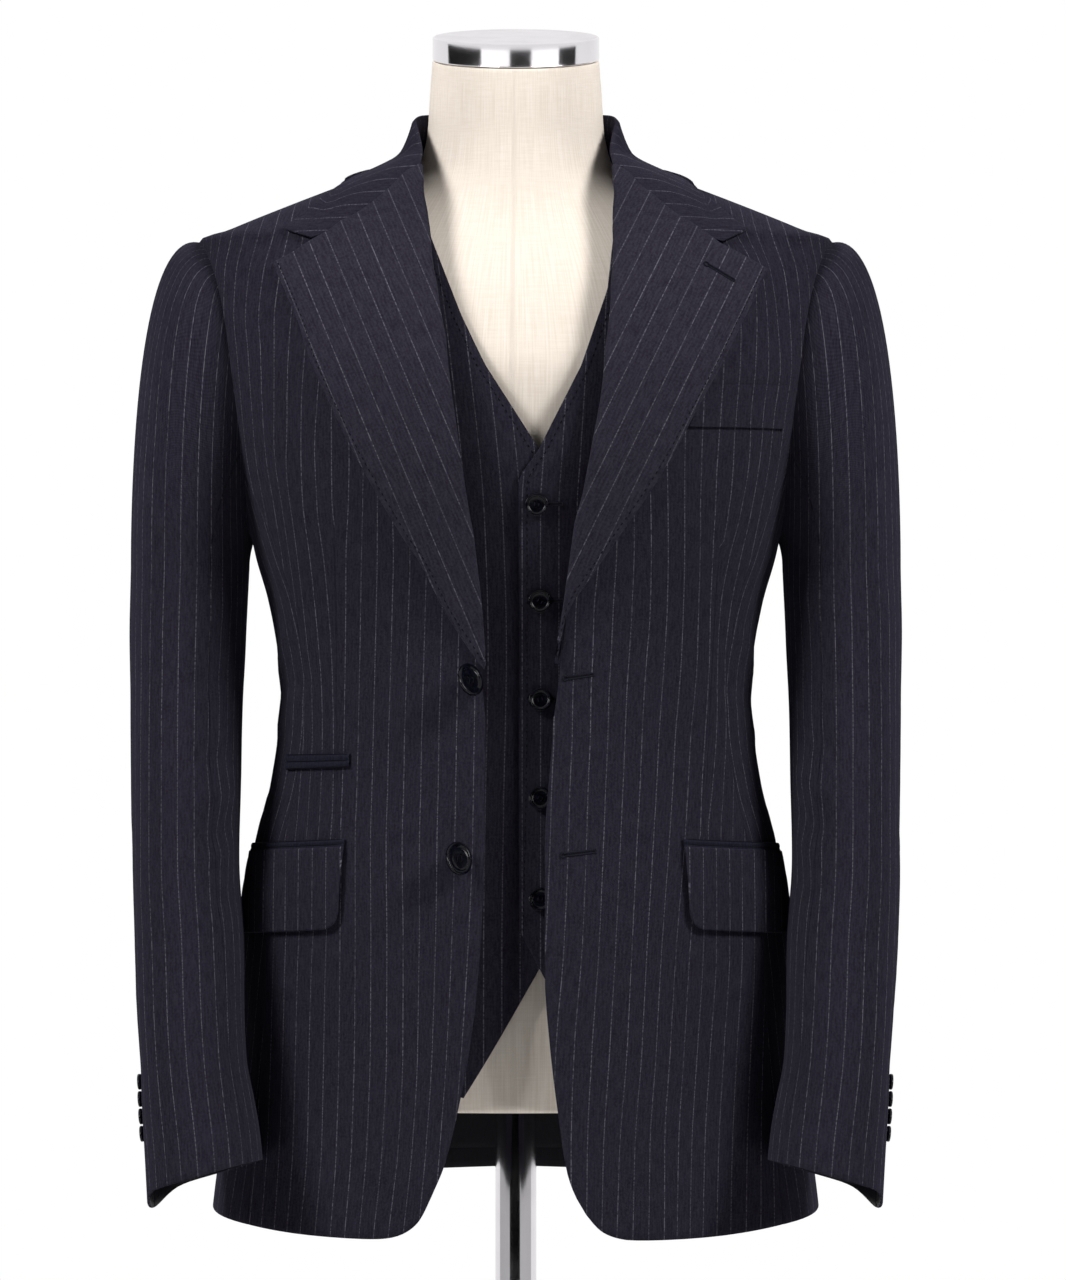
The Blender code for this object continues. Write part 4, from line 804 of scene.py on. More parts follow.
def slub_effect():
    """Plain weave with thick and thin yarns, longest up and down."""
    tree, given, out = effect("linen_slub", ("Across", "Along", "Thread"), ("Height", "Slub"))
    a, b = (result(tree, "DIVIDE", given[way], given["Thread"]) for way in ("Across", "Along"))
    warp = flat_noise(tree, a, times(tree, b, 0.03), 0.7, 2.0)
    weft = flat_noise(tree, times(tree, a, 0.05), b, 0.7, 2.0)
    slub = plus(tree, times(tree, warp, 0.7), times(tree, weft, 0.3))
    grid = times(tree, *(result(tree, "SINE", times(tree, way, 6.2832)) for way in (a, b)))
    tree.links.new(plus(tree, slub, times(tree, grid, 0.12)), out["Height"])
    tree.links.new(span(tree, slub, 0.36, 0.64, soft=False), out["Slub"])
    return tree


def handling_effect():
    """Faint smears and dust that make a polished surface less even."""
    tree, given, out = effect("handling", ("Size",), ("Smear",))
    spot = put(tree, "TexCoord").outputs["Object"]
    scale = result(tree, "DIVIDE", 1.0, given["Size"])
    smear = put(tree, "TexNoise", spot, Scale=scale, Detail=5.0, Roughness=0.65).outputs[0]
    tree.links.new(span(tree, smear, 0.35, 0.7), out["Smear"])
    return tree


CHALK, TWILL, SLUB, HANDLING = chalk_stripe_effect(), twill_effect(), slub_effect(), handling_effect()


def blank(name, **values):
    """A material with plain values on its shader's own sockets."""
    mat = bpy.data.materials.new(name)
    mat.use_nodes = True
    shader = mat.node_tree.nodes["Principled BSDF"]
    for key, value in values.items():
        shader.inputs[key.replace("_", " ")].default_value = value
    return mat, mat.node_tree, shader


def shade(tint, factor=1.0):
    return (*(part * factor for part in tint), 1)


def color(tree, shader, share, first, second):
    tree.links.new(blend(tree, share, first, second), shader.inputs["Base Color"])


def bump(tree, shader, height, depth, strength):
    node = put(tree, "Bump", Strength=strength, Distance=depth, Height=height)
    tree.links.new(node.outputs[0], shader.inputs["Normal"])


def woven(tree, group, **values):
    """A weave laid over the cloth's own across and along, in metres."""
    apart = put(tree, "SeparateXYZ", put(tree, "UVMap", uv_map="cloth").outputs[0]).outputs
    return use(tree, group, Across=apart[0], Along=apart[1], **values)


def grain(tree, scale, **more):
    """Noise through a piece, squeezed by this scale."""
    spot = put(tree, "Mapping", put(tree, "TexCoord").outputs["Object"], Scale=scale).outputs[0]
    return put(tree, "TexNoise", spot, Scale=1.0, **more).outputs[0]


def suiting(name, ground, chalk=None, thread=0.00055, rough=0.84):
    """Wool twill, with chalk stripes where a chalk colour is given."""
    mat, tree, shader = blank(name, Roughness=rough, Sheen_Weight=0.05, Sheen_Roughness=0.4,
                              Sheen_Tint=(0.72, 0.74, 1.0, 1), Specular_IOR_Level=WOOL_GLOSS)
    weave = woven(tree, TWILL, Thread=thread)
    base = blend(tree, weave["Tone"], shade(ground, 0.76), shade(ground, 1.24))
    fleck = blend(tree, weave["Heather"], (0.70, 0.66, 0.72, 1), (1.32, 1.34, 1.26, 1))
    base = blend(tree, 1.0, base, fleck, "MULTIPLY")
    cloudy = span(tree, weave["Cloud"], 0.0, 1.0, 0.0, 0.22, soft=False)
    base = blend(tree, cloudy, base, shade(ground, 1.3))
    if chalk is not None:
        line = woven(tree, CHALK, Spacing=PITCH * MM, Width=CHALK_WIDTH, Breaks=CHALK_BREAKS)
        base = blend(tree, line["Mask"], base, shade(chalk))
    tree.links.new(base, shader.inputs["Base Color"])
    bump(tree, shader, weave["Height"], 0.00009, 0.7)
    return mat


def plain_weave(name, thin, thick, thread, depth, strength, **values):
    """Plain woven cloth, with its colours where the yarns are thin and where they are thick."""
    mat, tree, shader = blank(name, **values)
    weave = woven(tree, SLUB, Thread=thread)
    color(tree, shader, weave["Slub"], thin, thick)
    bump(tree, shader, weave["Height"], depth, strength)
    return mat


def smears(tree, shader, size, rough, more):
    """Makes the shader's roughness rise from rough by up to this much more where it is smeared."""
    smear = use(tree, HANDLING, Size=size)["Smear"]
    tree.links.new(span(tree, smear, 0.0, 1.0, rough, rough + more, soft=False), shader.inputs["Roughness"])
    return smear


def polished_horn(name, ground, streak, rough):
    """Pressed button stock with faint streaks and a soft gloss."""
    mat, tree, shader = blank(name, Coat_Weight=0.08, Coat_Roughness=0.05, Specular_IOR_Level=0.14)
    share = span(tree, grain(tree, (160, 160, 420), Detail=4.0, Distortion=0.8), 0.42, 0.62)
    color(tree, shader, share, shade(ground), shade(streak))
    smears(tree, shader, 0.006, rough, 0.14)
    return mat


def metal_finish(name, tint, rough, uneven, size):
    mat, tree, shader = blank(name, Metallic=1.0)
    color(tree, shader, smears(tree, shader, size, rough, uneven), shade(tint), shade(tint, 0.94))
    return mat


def thread_finish(name, ground):
    mat, tree, shader = blank(name, Roughness=0.8, Specular_IOR_Level=0.08)
    twist = grain(tree, (1500, 1500, 4200), Detail=1.0)
    color(tree, shader, span(tree, twist, 0.35, 0.65), shade(ground, 0.6), shade(ground, 1.5))
    bump(tree, shader, twist, 0.00015, 0.6)
    return mat


WOOL_GLOSS, CHALK_WIDTH, CHALK_BREAKS = 0.0, 0.00062, 0.80
GROUND, CHALK_BLUE = (0.0205, 0.0190, 0.0290), (0.118, 0.114, 0.142)
SUIT = suiting("pinstripe_wool", GROUND, CHALK_BLUE)
# Painted light: the facing's ground is about a quarter lighter than the suit's, so the lapels look lit more
# than the fronts.
FACING_PAINTED_LIGHTER = suiting("facing_wool_painted_lighter", (0.0262, 0.0243, 0.0360), CHALK_BLUE)  # its nap lies the other way up, and its ground is painted lighter as painted light on the lapels
VEST = suiting("waistcoat_wool", GROUND, CHALK_BLUE)
UNDERCOLLAR = suiting("undercollar_felt", (0.010, 0.010, 0.017), thread=0.0011, rough=0.95)
JETTING = suiting("plain_jetting", (0.0150, 0.0155, 0.0250), thread=0.0005, rough=0.7)
SATIN = (0.0045, 0.0045, 0.0065)
LINING = plain_weave("dark_lining", shade(SATIN, 0.7), shade(SATIN, 1.4), 0.00035, 0.00004, 0.5,
                     Roughness=0.5, Specular_IOR_Level=0.10)
LINEN = plain_weave("cream_linen", (0.83, 0.735, 0.63, 1), (0.92, 0.83, 0.735, 1), 0.00085, 0.00022, 0.8,
                    Roughness=0.88, Sheen_Weight=0.15, Specular_IOR_Level=0.25)
HORN = polished_horn("navy_button", (0.0018, 0.0019, 0.0040), (0.0040, 0.0044, 0.0085), 0.10)
CHROME = metal_finish("chrome", (0.74, 0.72, 0.745), 0.09, 0.05, 0.05)
SATIN_CAP = metal_finish("satin_cap_top", (0.76, 0.73, 0.76), 0.34, 0.08, 0.03)
PLATE = metal_finish("base_plate", (0.66, 0.66, 0.67), 0.28, 0.12, 0.06)
THREAD = thread_finish("navy_thread", (0.0085, 0.0085, 0.015))
# near-black thread for the pick stitches; the same colour paints the shade in buttonhole slits and pocket
# mouths
DARK_THREAD_AND_SHADE = thread_finish("dark_thread_and_painted_shade", (0.0025, 0.0025, 0.005))


# ---------------------------------------------------------------- stripes
def stripe_across(side, turn, z, beyond_dart):
    """How far across the striped cloth a place on a front is, on either side of its dart."""
    numbers, rows = LINE_NUMBERS[side], STRIPE_LINES[side]
    near = numbers.index(BEFORE_DART)
    level = np.minimum(z, STRIPE_TOP)
    x = jacket.at(turn, z)[..., 0]
    steep = ease(z, STRIPE_TOP - 4, STRIPE_TOP + 6) * (np.abs(turn) < 100)
    place = jacket.girth(turn, z) * (1 - steep)
    place = place + steep * jacket.girth(jacket.turn_at(x, level), level)
    spots = []
    for k in range(len(numbers)):
        out = table_curve(rows, k + 1)(z)
        spots.append(jacket.girth(jacket.turn_at(out, level), level))
    foot, tip = DART[side]
    taken = (z > foot) & (z < tip)
    gap = 2 * PITCH
    if beyond_dart:
        spots[near] = np.where(taken, spots[near + 1] - gap, spots[near])
    else:
        spots[near + 1] = np.where(taken, spots[near] + gap, spots[near + 1])
    across = numbers[0] * PITCH + place - spots[0]
    for k in range(len(numbers) - 1):
        share = (place - spots[k]) / (spots[k + 1] - spots[k])
        here = (numbers[k] + share * (numbers[k + 1] - numbers[k])) * PITCH
        across = np.where(place >= spots[k], here, across)
    return np.where(place >= spots[-1], numbers[-1] * PITCH + place - spots[-1], across)


def body_uv(across, z):
    return np.stack([across, jacket.way(z)], -1)


# ---------------------------------------------------------------- jacket
def press_body(patch, off, side):
    """Points and directions of a jacket panel, with its soft folds."""
    points, normals = jacket.spot(patch[..., 0], patch[..., 1])
    points = points + normals * off[..., None]
    points = fold_over(points, normals, BODY_FOLDS[side], lambda turn, z: jacket.at(side * turn, z))
    return points, normals


def pressed_seams(shape, left=True):
    """How far off each point of a panel is pressed: its seams lie a little lower."""
    off = np.zeros(shape)
    off[:, -1] -= SEAM_DIP
    if left:
        off[:, 0] -= SEAM_DIP
    return off


SEAM_GAP, SLEEVE_GAP, TOP_GAP = 0.5, 0.45, 0.4


def drawn_in(grid, left, right, high=0.0):
    """The grid with its rims drawn in, which leaves a seam's gap."""
    grid = grid.copy()
    sides = (grid[:, 0], grid[:, 1], left), (grid[:, -1], grid[:, -2], right)
    for rim, beside, gap in (*sides, (grid[-1], grid[-2], high)):
        way = beside - rim
        size = np.maximum(np.linalg.norm(way, axis=-1, keepdims=True), 1e-6)
        rim += way / size * np.minimum(gap, size * 0.4)
    return grid


def lined_panel(kind, side, points, normals, uvs, gaps, split=None):
    """A piece of the jacket with its lining, drawn in by these gaps at its left, right and high rims."""
    points = drawn_in(points, *gaps)
    name = f"{kind}_cloth_{WORN[side]}"
    return cloth_shell(name, points, normals, CLOTH, uvs, (SUIT, LINING), split=split)


def front_patch(side):
    """(turn, height) of a front panel, with one column down its dart; and that column's number."""
    right = arm_rim(SIDE_SEAM, HEM_FRONT, side, (SIDE_SEAM_STEP, 0))
    seam_top = right[BODY_ROWS - 1, 1]

    def heights_from(foot):
        return np.concatenate([climb(foot, seam_top), right[BODY_ROWS:, 1]])

    z = heights_from(SKIRT_CORNER[side][0][1])
    edge = table_curve(FRONT_EDGE[side] + ROLL_LINE[side][1:])(z) + 3.0 * ease(z, 925, 955) + RIM * (z < 940)
    left = np.stack([jacket.turn_at(side * edge, z), z], 1)
    left[:, 0] = np.where(z > NECK_SEAM[0][1], side * neck_turn(z), left[:, 0])
    hem = softened(np.concatenate([on_front(SKIRT_CORNER[side], side)[:-1], right[:1]]), 2)
    hem = along(hem, 400)
    hem[0] = left[0]
    foot = int(np.abs(hem[:, 0] - jacket.turn_at(side * DART_LINE[side][0][1], HEM_FRONT)).argmin())
    z = heights_from(hem[foot, 1])
    dart = np.stack([jacket.turn_at(side * table_curve(DART_LINE[side])(z), z), z], 1)
    halfway = ease(z, 1240, 1296)[:, None]
    dart = dart * (1 - halfway) + (left * 0.55 + right * 0.45) * halfway
    dart[0] = hem[foot]
    shares = spread(28), spread(36)
    parts = []
    for (a, b, low), share in zip(((left, dart, hem[: foot + 1]), (dart, right, hem[foot:])), shares):
        high = between(a[-1], b[-1], share)
        parts.append(coons(a, b, along(low, share), high, 0.3, share))
    return np.concatenate([parts[0], parts[1][:, 1:]], 1), len(shares[0]) - 1


def jacket_front(side):
    patch, dart = front_patch(side)
    turn, z = patch[..., 0], patch[..., 1]
    off = pressed_seams(turn.shape, left=False)
    foot, tip = DART[side]
    off[:, dart] -= DART_DIP * ease(z[:, dart], foot - 10, foot) * (1 - ease(z[:, dart], tip - 30, tip))
    points, normals = press_body(patch, off, side)
    uvs = [body_uv(stripe_across(side, turn, z, beyond), z) for beyond in (False, True)]
    return lined_panel("front", side, points, normals, uvs, (0, SEAM_GAP, TOP_GAP), dart)


def jacket_side(side):
    share = spread(24)
    top = hole_turns(SIDE_SEAM_STEP + (BACK_SEAM_STEP - SIDE_SEAM_STEP) * share, side)
    front = seam(SIDE_SEAM, climb(HEM_FRONT, top[0, 1]), side, top[0])
    back = seam(BACK_SEAM, climb(HEM_SIDE, top[-1, 1]), side, top[-1])
    patch = coons(front, back, between(front[0], back[0], share), top, 0.6, share)
    turn, z = patch[..., 0], patch[..., 1]
    points, normals = press_body(patch, pressed_seams(turn.shape), side)
    across = jacket.girth(turn, z) - jacket.girth(np.full(z.shape, SIDE_MIDDLE), z)
    return lined_panel("side", side, points, normals, body_uv(across, z), (SEAM_GAP, SEAM_GAP, TOP_GAP))


def jacket_back(side):
    right = arm_rim(BACK_SEAM, HEM_SIDE, side, (BACK_SEAM_STEP, HOLE_STEPS))
    left = np.stack([np.full(len(right), side * 180.0), right[:, 1]], 1)
    left[:BODY_ROWS, 1] = climb(HEM_BACK, right[BODY_ROWS - 1, 1])
    share = spread(40)
    low, high = (between(left[end], right[end], share) for end in (0, -1))
    patch = coons(left, right, low, high, 0.3, share)
    turn, z = patch[..., 0], patch[..., 1]
    points, normals = press_body(patch, pressed_seams(turn.shape), side)
    level = np.minimum(z, STRIPE_TOP)
    from_middle = jacket.girth(np.full(z.shape, 180.0), level) - jacket.girth(turn, level)
    from_middle = from_middle + table_curve(BACK_TAKEN)(z) + PITCH / 2
    uv = body_uv(side * from_middle, z)
    return lined_panel("back", side, points, normals, uv, (0.3, SEAM_GAP, TOP_GAP))


LAPEL_RISE = ((0.0, 3.1), (0.35, 3.5), (0.75, 4.2), (1.0, 4.6))  # share from outer edge to fold, off
FOLD_TURN = ((0.0, 0.0), (1.6, -1.2), (2.4, -3.2), (1.6, -5.2))  # (reach, drop) round the fold
LAPEL_ROWS, LAPEL_COLUMNS = 92, 26
CHEST_MIDDLE, NECK_MIDDLE = (0, 0, 1100), (0, 0, 1250)


def rounded_from(grid, column):
    """Rounds the bend that the grid makes after this column."""
    turn = softened(np.swapaxes(grid[:, column:], 0, 1), 2)
    return np.concatenate([grid[:, :column], np.swapaxes(turn, 0, 1)], 1)


def lapel_grid(side):
    """Points and directions of a lapel's leaf and fold, its outer edge first."""
    edge = on_front([(x, z) for z, x in LAPEL_EDGE[side]], side)
    outer = along(softened(edge, 2), LAPEL_ROWS)
    roll = np.array(ROLL_LINE[side], float)
    inner = along(on_front(np.stack([roll[:, 1], roll[:, 0]], 1), side), LAPEL_ROWS)
    share = spread(LAPEL_COLUMNS, 0.4)
    gorge, top = on_front(GORGE[side], side), on_front(LAPEL_TOP[side], side)
    high = along(np.concatenate([gorge, top[1:]])[::-1], share) - (0, GORGE_GAP)
    patch = coons(outer, inner, between(outer[0], inner[0], share), high, 0.8, share)
    grow = np.clip(np.linspace(0, 1, LAPEL_ROWS) / 0.12, 0.55, 1)[:, None]
    off = table_curve(LAPEL_RISE)(share)[None] * grow + CLOTH / 2
    leaf = jacket.at(patch[..., 0], patch[..., 1], off)
    across = unit(leaf[:, -1] - leaf[:, -2])
    normal = jacket.spot(patch[:, -1, 0], patch[:, -1, 1])[1]
    turn = [leaf[:, -1] + across * a + normal * b * grow for a, b in FOLD_TURN[1:]]
    grid = rounded_from(np.concatenate([leaf, np.stack(turn, 1)], 1), len(share) - 2)
    return grid, grid_normals(grid, CHEST_MIDDLE)


def lapel(side):
    grid, normals = lapel_grid(side)
    lean = math.atan(LAPEL_GRAIN[side])
    x, z = side * grid[..., 0], grid[..., 2]
    edge_x, edge_z = LAPEL_EDGE[side][-2][1], LAPEL_EDGE[side][-2][0]
    across = ((edge_x - x) + (z - edge_z) * math.tan(lean)) * math.cos(lean)
    across = across * PITCH / LAPEL_PITCH[side] + LAPEL_PHASE[side]
    uv = np.stack([across, jacket.way(z) + x * math.sin(lean)], -1)
    # The lapel's outside is the facing wool, painted lighter as painted light.
    return cloth_shell(f"lapel_cloth_{WORN[side]}", grid, normals, CLOTH, uv, (FACING_PAINTED_LIGHTER, SUIT), rim=0.8)


COLLAR_HALF, COLLAR_COLUMNS = 70, 14


def collar_grid():
    """Leaf, fold and stand, from the wearer's right end round the back; and its place across the cloth."""
    fold0, leaf0, stand0 = (along(softened(t), COLLAR_HALF) for t in (COLLAR_FOLD, COLLAR_LEAF, COLLAR_STAND))
    share = spread(COLLAR_COLUMNS, 0.4)
    step = np.linspace(0, 1, COLLAR_HALF)
    sides, wefts = [], []
    for side in (-1, 1):
        fold, leaf, stand = (line * (side, 1) for line in (fold0, leaf0, stand0))
        gorge, tip = on_front(GORGE[side], side), on_front(COLLAR_END[side], side)
        end = along(np.concatenate([gorge, tip[1:]])[::-1], share) + (0, GORGE_GAP)
        fold = fold + (end[-1] - fold[-1]) * step[:, None] ** 4
        leaf = leaf + (end[0] - leaf[-1]) * step[:, None] ** 3
        patch = coons(leaf, fold, between(leaf[0], fold[0], share), end, 0.75, share)
        off = np.interp(share, (0, 0.4, 1), (2.0, 3.2, 4.0)) + CLOTH / 2
        outside = jacket.at(patch[..., 0], patch[..., 1], off)
        ins = []
        for part, off in ((0.06, -0.9), (0.5, -1.4), (1, -1.6)):
            line = fold + (stand - fold) * part
            ins.append(jacket.at(line[:, 0], line[:, 1], off))
        over = jacket.at(fold[:, 0], fold[:, 1], 1.9)
        over[:, 2] += 3.6
        grid = np.concatenate([outside, over[:, None], np.stack(ins, 1)], 1)
        grid = rounded_from(grid, len(share) - 2)
        run = lengths(outside[:, -1])
        out = np.clip(1 - np.arange(grid.shape[1]) / (len(share) - 1), 0, 1)
        weft = run[:, None] + COLLAR_LAG * step[:, None] ** 1.5 * out
        level = run[-1] + (end[-1, 1] - grid[..., 2]) * COLLAR_DROP + (2 if side > 0 else 0)
        blend_in = ease(step, 0.72, 0.94)[:, None]
        wefts.append(side * (weft * (1 - blend_in) + level * blend_in))
        sides.append(grid)
    join = (slice(None, None, -1), slice(1, None))
    return (np.concatenate([part[way] for part, way in zip(parts, join)]) for parts in (sides, wefts))


def collar():
    grid, weft = collar_grid()
    normals = grid_normals(grid, NECK_MIDDLE)
    leaf = normals[COLLAR_HALF, 2] @ (grid[COLLAR_HALF, 2] * (1, 1, 0))
    normals = normals if leaf > 0 else -normals
    uv = np.stack([weft + PITCH / 2, row_lengths(grid)], -1)
    return cloth_shell("collar_cloth", grid, normals, CLOTH, uv, (SUIT, UNDERCOLLAR), rim=0.8)


SLEEVE_FINE = 4  # columns for each step round the armhole
HEAD_ROWS, ARM_ROWS = 34, 96


def sleeve_ring(side, turn, z):
    cx, cy, a, b = (smooth(-np.array(SLEEVE)[:, 0], np.array(SLEEVE)[:, k])(-z) for k in range(1, 5))
    return np.stack([side * (cx + a * np.cos(turn)), cy - b * np.sin(turn), z + 0 * turn], -1)


def sleeve_grid(side):
    """Middle of the sleeve's cloth: rows from the armhole down to the cuff, columns round the arm."""
    steps = np.arange(HOLE_STEPS * SLEEVE_FINE + 1) / SLEEVE_FINE
    turn = steps / HOLE_STEPS * 2 * math.pi
    y, z = hole(steps)
    on, out = jacket.spot(jacket.turn_back(y, z, side), z)
    start = on + out * ROPE
    c, s = np.cos(turn), np.sin(turn)
    lead = unit(np.stack([side * (0.62 + 0.45 * c), -0.35 * s, -0.5 + 0.70 * c], 1))
    top = SLEEVE[0][0]
    end = sleeve_ring(side, turn, np.full(len(turn), float(top)))
    gap = np.linalg.norm(end - start, axis=1, keepdims=True)
    lead = lead * gap * (0.75 - 0.23 * c)[:, None]
    fall = np.stack([0 * c, 0 * c, end[:, 2] - start[:, 2]], 1)
    # the cloth turns in under the armhole seam
    grid = [on - out * 1.7 + unit(lead) * 0.5, on - out * 0.5 + unit(lead) * 0.4]
    for t in np.linspace(0, 1, HEAD_ROWS)[:-1] ** 1.25:
        spot = (1 + 2 * t) * (1 - t) ** 2 * start + t * t * (3 - 2 * t) * end
        grid.append(spot + t * (1 - t) ** 2 * lead + t * t * (t - 1) * fall + unit(lead) * 0.6 * (1 - t))
    corner = np.clip(np.cos(turn + math.radians(VENT_BACK)), 0, 1) ** 8
    cuff = CUFF_HEIGHT - CUFF_SLANT * c + CUFF_LIFT * s - VENT_DROP * corner
    for t in np.linspace(0, 1, ARM_ROWS):
        grid.append(sleeve_ring(side, turn, top + (cuff - top) * t))
    return np.array(grid)


def head_across(skin, side, ring):
    """The cloth's across in the sleeve's head: its stripes stand upright, leaning in with the crown.

    skin is the head's rows down to a level ring; ring is how far round from the crown its points are.
    """
    out = side * skin[..., 0]
    half = out.shape[1] // 2
    crown = np.interp(skin[..., 2], skin[::-1, 0, 2], out[::-1, 0])
    moved = np.clip(out + HEAD_LEAN * (out[-1, 0] - crown), out[-1, half], out[-1, 0])
    front = np.interp(moved, out[-1, half::-1], ring[half::-1])
    back = np.interp(moved, out[-1, half:], ring[half:])
    upright = np.where(np.arange(out.shape[1]) <= half, front, back)
    share = np.abs(np.arange(out.shape[1]) / half - 1)
    keep = ease(share, 1.0, 1.0 - HEAD_BLEND)
    return upright * keep + ring * (1 - keep)


def sleeve_cloth(side):
    """A whole sleeve's points and directions, its cloth's across and down, and its rows' heights."""
    grid = sleeve_grid(side)
    normals = off_grid(grid)
    normals[:, 0] = normals[:, -1] = unit(normals[:, 0] + normals[:, -1])
    row = len(grid) // 2
    if np.sum(normals[row] * (grid[row] - grid[row].mean(0))) < 0:
        normals = -normals
    skin = grid + normals * CLOTH / 2

    def place(step, z):
        column = int(round(step * SLEEVE_FINE)) % (HOLE_STEPS * SLEEVE_FINE)
        levels = skin[::-1, column, 2]
        return np.array([np.interp(z, levels, skin[::-1, column, k]) for k in range(3)])

    folded = fold_over(skin, normals, SLEEVE_FOLDS[side], place)
    across = row_lengths(skin)
    front = HOLE_STEPS // 4 * SLEEVE_FINE
    head = len(skin) - ARM_ROWS
    upright = head_across(skin[:head + 1], side, across[head]) - across[head, front]
    across = across - across[:, front:front + 1]
    across[:head] = upright[:head]
    across *= SLEEVE_SHRINK
    down = np.broadcast_to(lengths(folded[:, front])[:, None], across.shape)
    return folded, normals, across, down, np.maximum(grid[:, :, 2].mean(1), SLEEVE[-1][0])


def sleeve(side):
    """The top and under pieces, cut along both seams out of the sleeve laid three times round."""
    skin, normals, across, down, height = sleeve_cloth(side)
    girth = across[:, -1:] - across[:, :1]
    count = skin.shape[1] - 1
    three = [np.concatenate([part[:, :-1]] * 3, 1) for part in (skin, normals, down)]
    turns = np.concatenate([across[:, :-1] - girth, across[:, :-1], across[:, :-1] + girth], 1)
    rows = np.arange(len(skin))[:, None]
    made = []
    for part, first, last, cols in (("top", HIND_SEAM, FORE_SEAM, 50), ("under", FORE_SEAM, HIND_SEAM, 32)):
        a, b = (table_curve([(-z, turn) for z, turn in line])(-height) for line in (first, last))
        b = b + 360 * (part == "under")
        share = spread(cols)[None]
        want = (a[:, None] + (b - a)[:, None] * share) / 360 * count + count
        i = np.floor(want).astype(int)
        t = want - i

        def pick(values):
            weight = t[..., None] if values.ndim == 3 else t
            return values[rows, i] * (1 - weight) + values[rows, i + 1] * weight

        points, directions, uv_down, uv_across = (pick(values) for values in (*three, turns))
        off = pressed_seams(points.shape[:2])
        off[:, -1 if part == "under" else 0] += VENT_RISE * (height < VENT_TOP)
        points, uv = points + directions * off[..., None], np.stack([uv_across, uv_down], -1)
        gaps = (SLEEVE_GAP, SLEEVE_GAP)
        made.append(lined_panel(f"sleeve_{part}", side, points, directions, uv, gaps))
    return made


def back_lining():
    turns = np.linspace(LINING_TURN, 360 - LINING_TURN, 80)
    patch = np.stack(np.meshgrid(turns, np.linspace(HEM_BACK + LINING_UP, LINING_TOP, 70)), -1)
    points, normals = jacket.spot(patch[..., 0], patch[..., 1])
    points = fold_over(points - normals * (CLOTH + 3.0), normals, LINING_FOLDS, jacket.at)
    uv = np.stack([jacket.girth(180 - np.abs(180 - patch[..., 0]), patch[..., 1]), patch[..., 1]], -1)
    return cloth_shell("skirt_lining", points, normals, 0.7, uv, (LINING, LINING), rim=0.3)


# ---------------------------------------------------------------- pockets
FLAP_COLUMNS = 40


def arc_turn(turn, z, length):
    """The turn this far round from another one, measured on the cloth."""
    turns = np.linspace(turn, turn + 60, 200)
    way = jacket.girth(turns, np.full(200, z))
    return float(np.interp(length, way - way[0], turns))


def pocket_patch(corners, cols, rows, soft_corner=0.0):
    """(turn, height) over top start, top end, low end, low start; its lower corners rounded."""
    c = np.array(corners, float)
    s, t = spread(cols), spread(rows)
    across, up = s[None, :, None], t[:, None, None]
    patch = (1 - up) * ((1 - across) * c[3] + across * c[2]) + up * ((1 - across) * c[0] + across * c[1])
    near = np.maximum(soft_corner - np.minimum(s, 1 - s) * FLAP_LENGTH, 0)
    patch[..., 1] += (1 - t[:, None]) * (soft_corner - np.sqrt(soft_corner**2 - near**2))[None]
    return patch


def lay_pocket(kind, side, patch, off, thick, cloth, tail="", level=None, rim=0.6):
    """Makes a pocket piece, with the front's stripes carried over it, and lays it on its front."""
    z = patch[..., 1]
    points, normals = press_body(patch, np.broadcast_to(off, z.shape), side)
    aim = z if level is None else np.full(z.shape, float(level))
    across = stripe_across(side, jacket.turn_at(points[..., 0], aim), aim, True)
    uv = body_uv(across, z)
    piece = cloth_shell(f"{kind}_cloth{tail}", points, normals, thick, uv, (cloth, LINING), rim)
    slot = "plain_jetting" if cloth == JETTING else "pinstripe_wool"
    declare(piece, f"{kind}{tail}", kind, f"front_cloth_{WORN[side]}", held="laid", slot=slot)


def jet_profile(rows):
    """Two rolled lips with a slit between them, across the height of a pocket mouth."""
    return 0.95 * np.abs(np.sin(2 * np.pi * spread(rows)[:, None])) ** 0.6


def flap_corners(side):
    """Corners of a flap and of the jets above it, as (turn, height)."""
    turn = FLAP_TURN[side]
    far, far_low = (arc_turn(turn - back, z, FLAP_LENGTH - FLAP_SHORT) for back, z in ((0, 840), (1.0, 790)))
    top = (side * turn, FLAP_TOP), (side * far, FLAP_TOP - FLAP_DROP)
    foot = FLAP_TOP - 1.5 - FLAP_DEPTH
    low = (side * far_low, foot - FLAP_DROP_LOW), (side * (turn - 0.6), foot)
    jets = [(side * turn, JETS_TOP), (side * far, JETS_TOP - FLAP_DROP)]
    jets += [(side * far, JETS_LOW - FLAP_DROP), (side * turn, JETS_LOW)]
    return (*top, *low), jets


def front_corners(rows):
    """Corners given as (x, height), as (turn, height)."""
    return [(float(jacket.turn_at(x, z)), z) for x, z in rows]


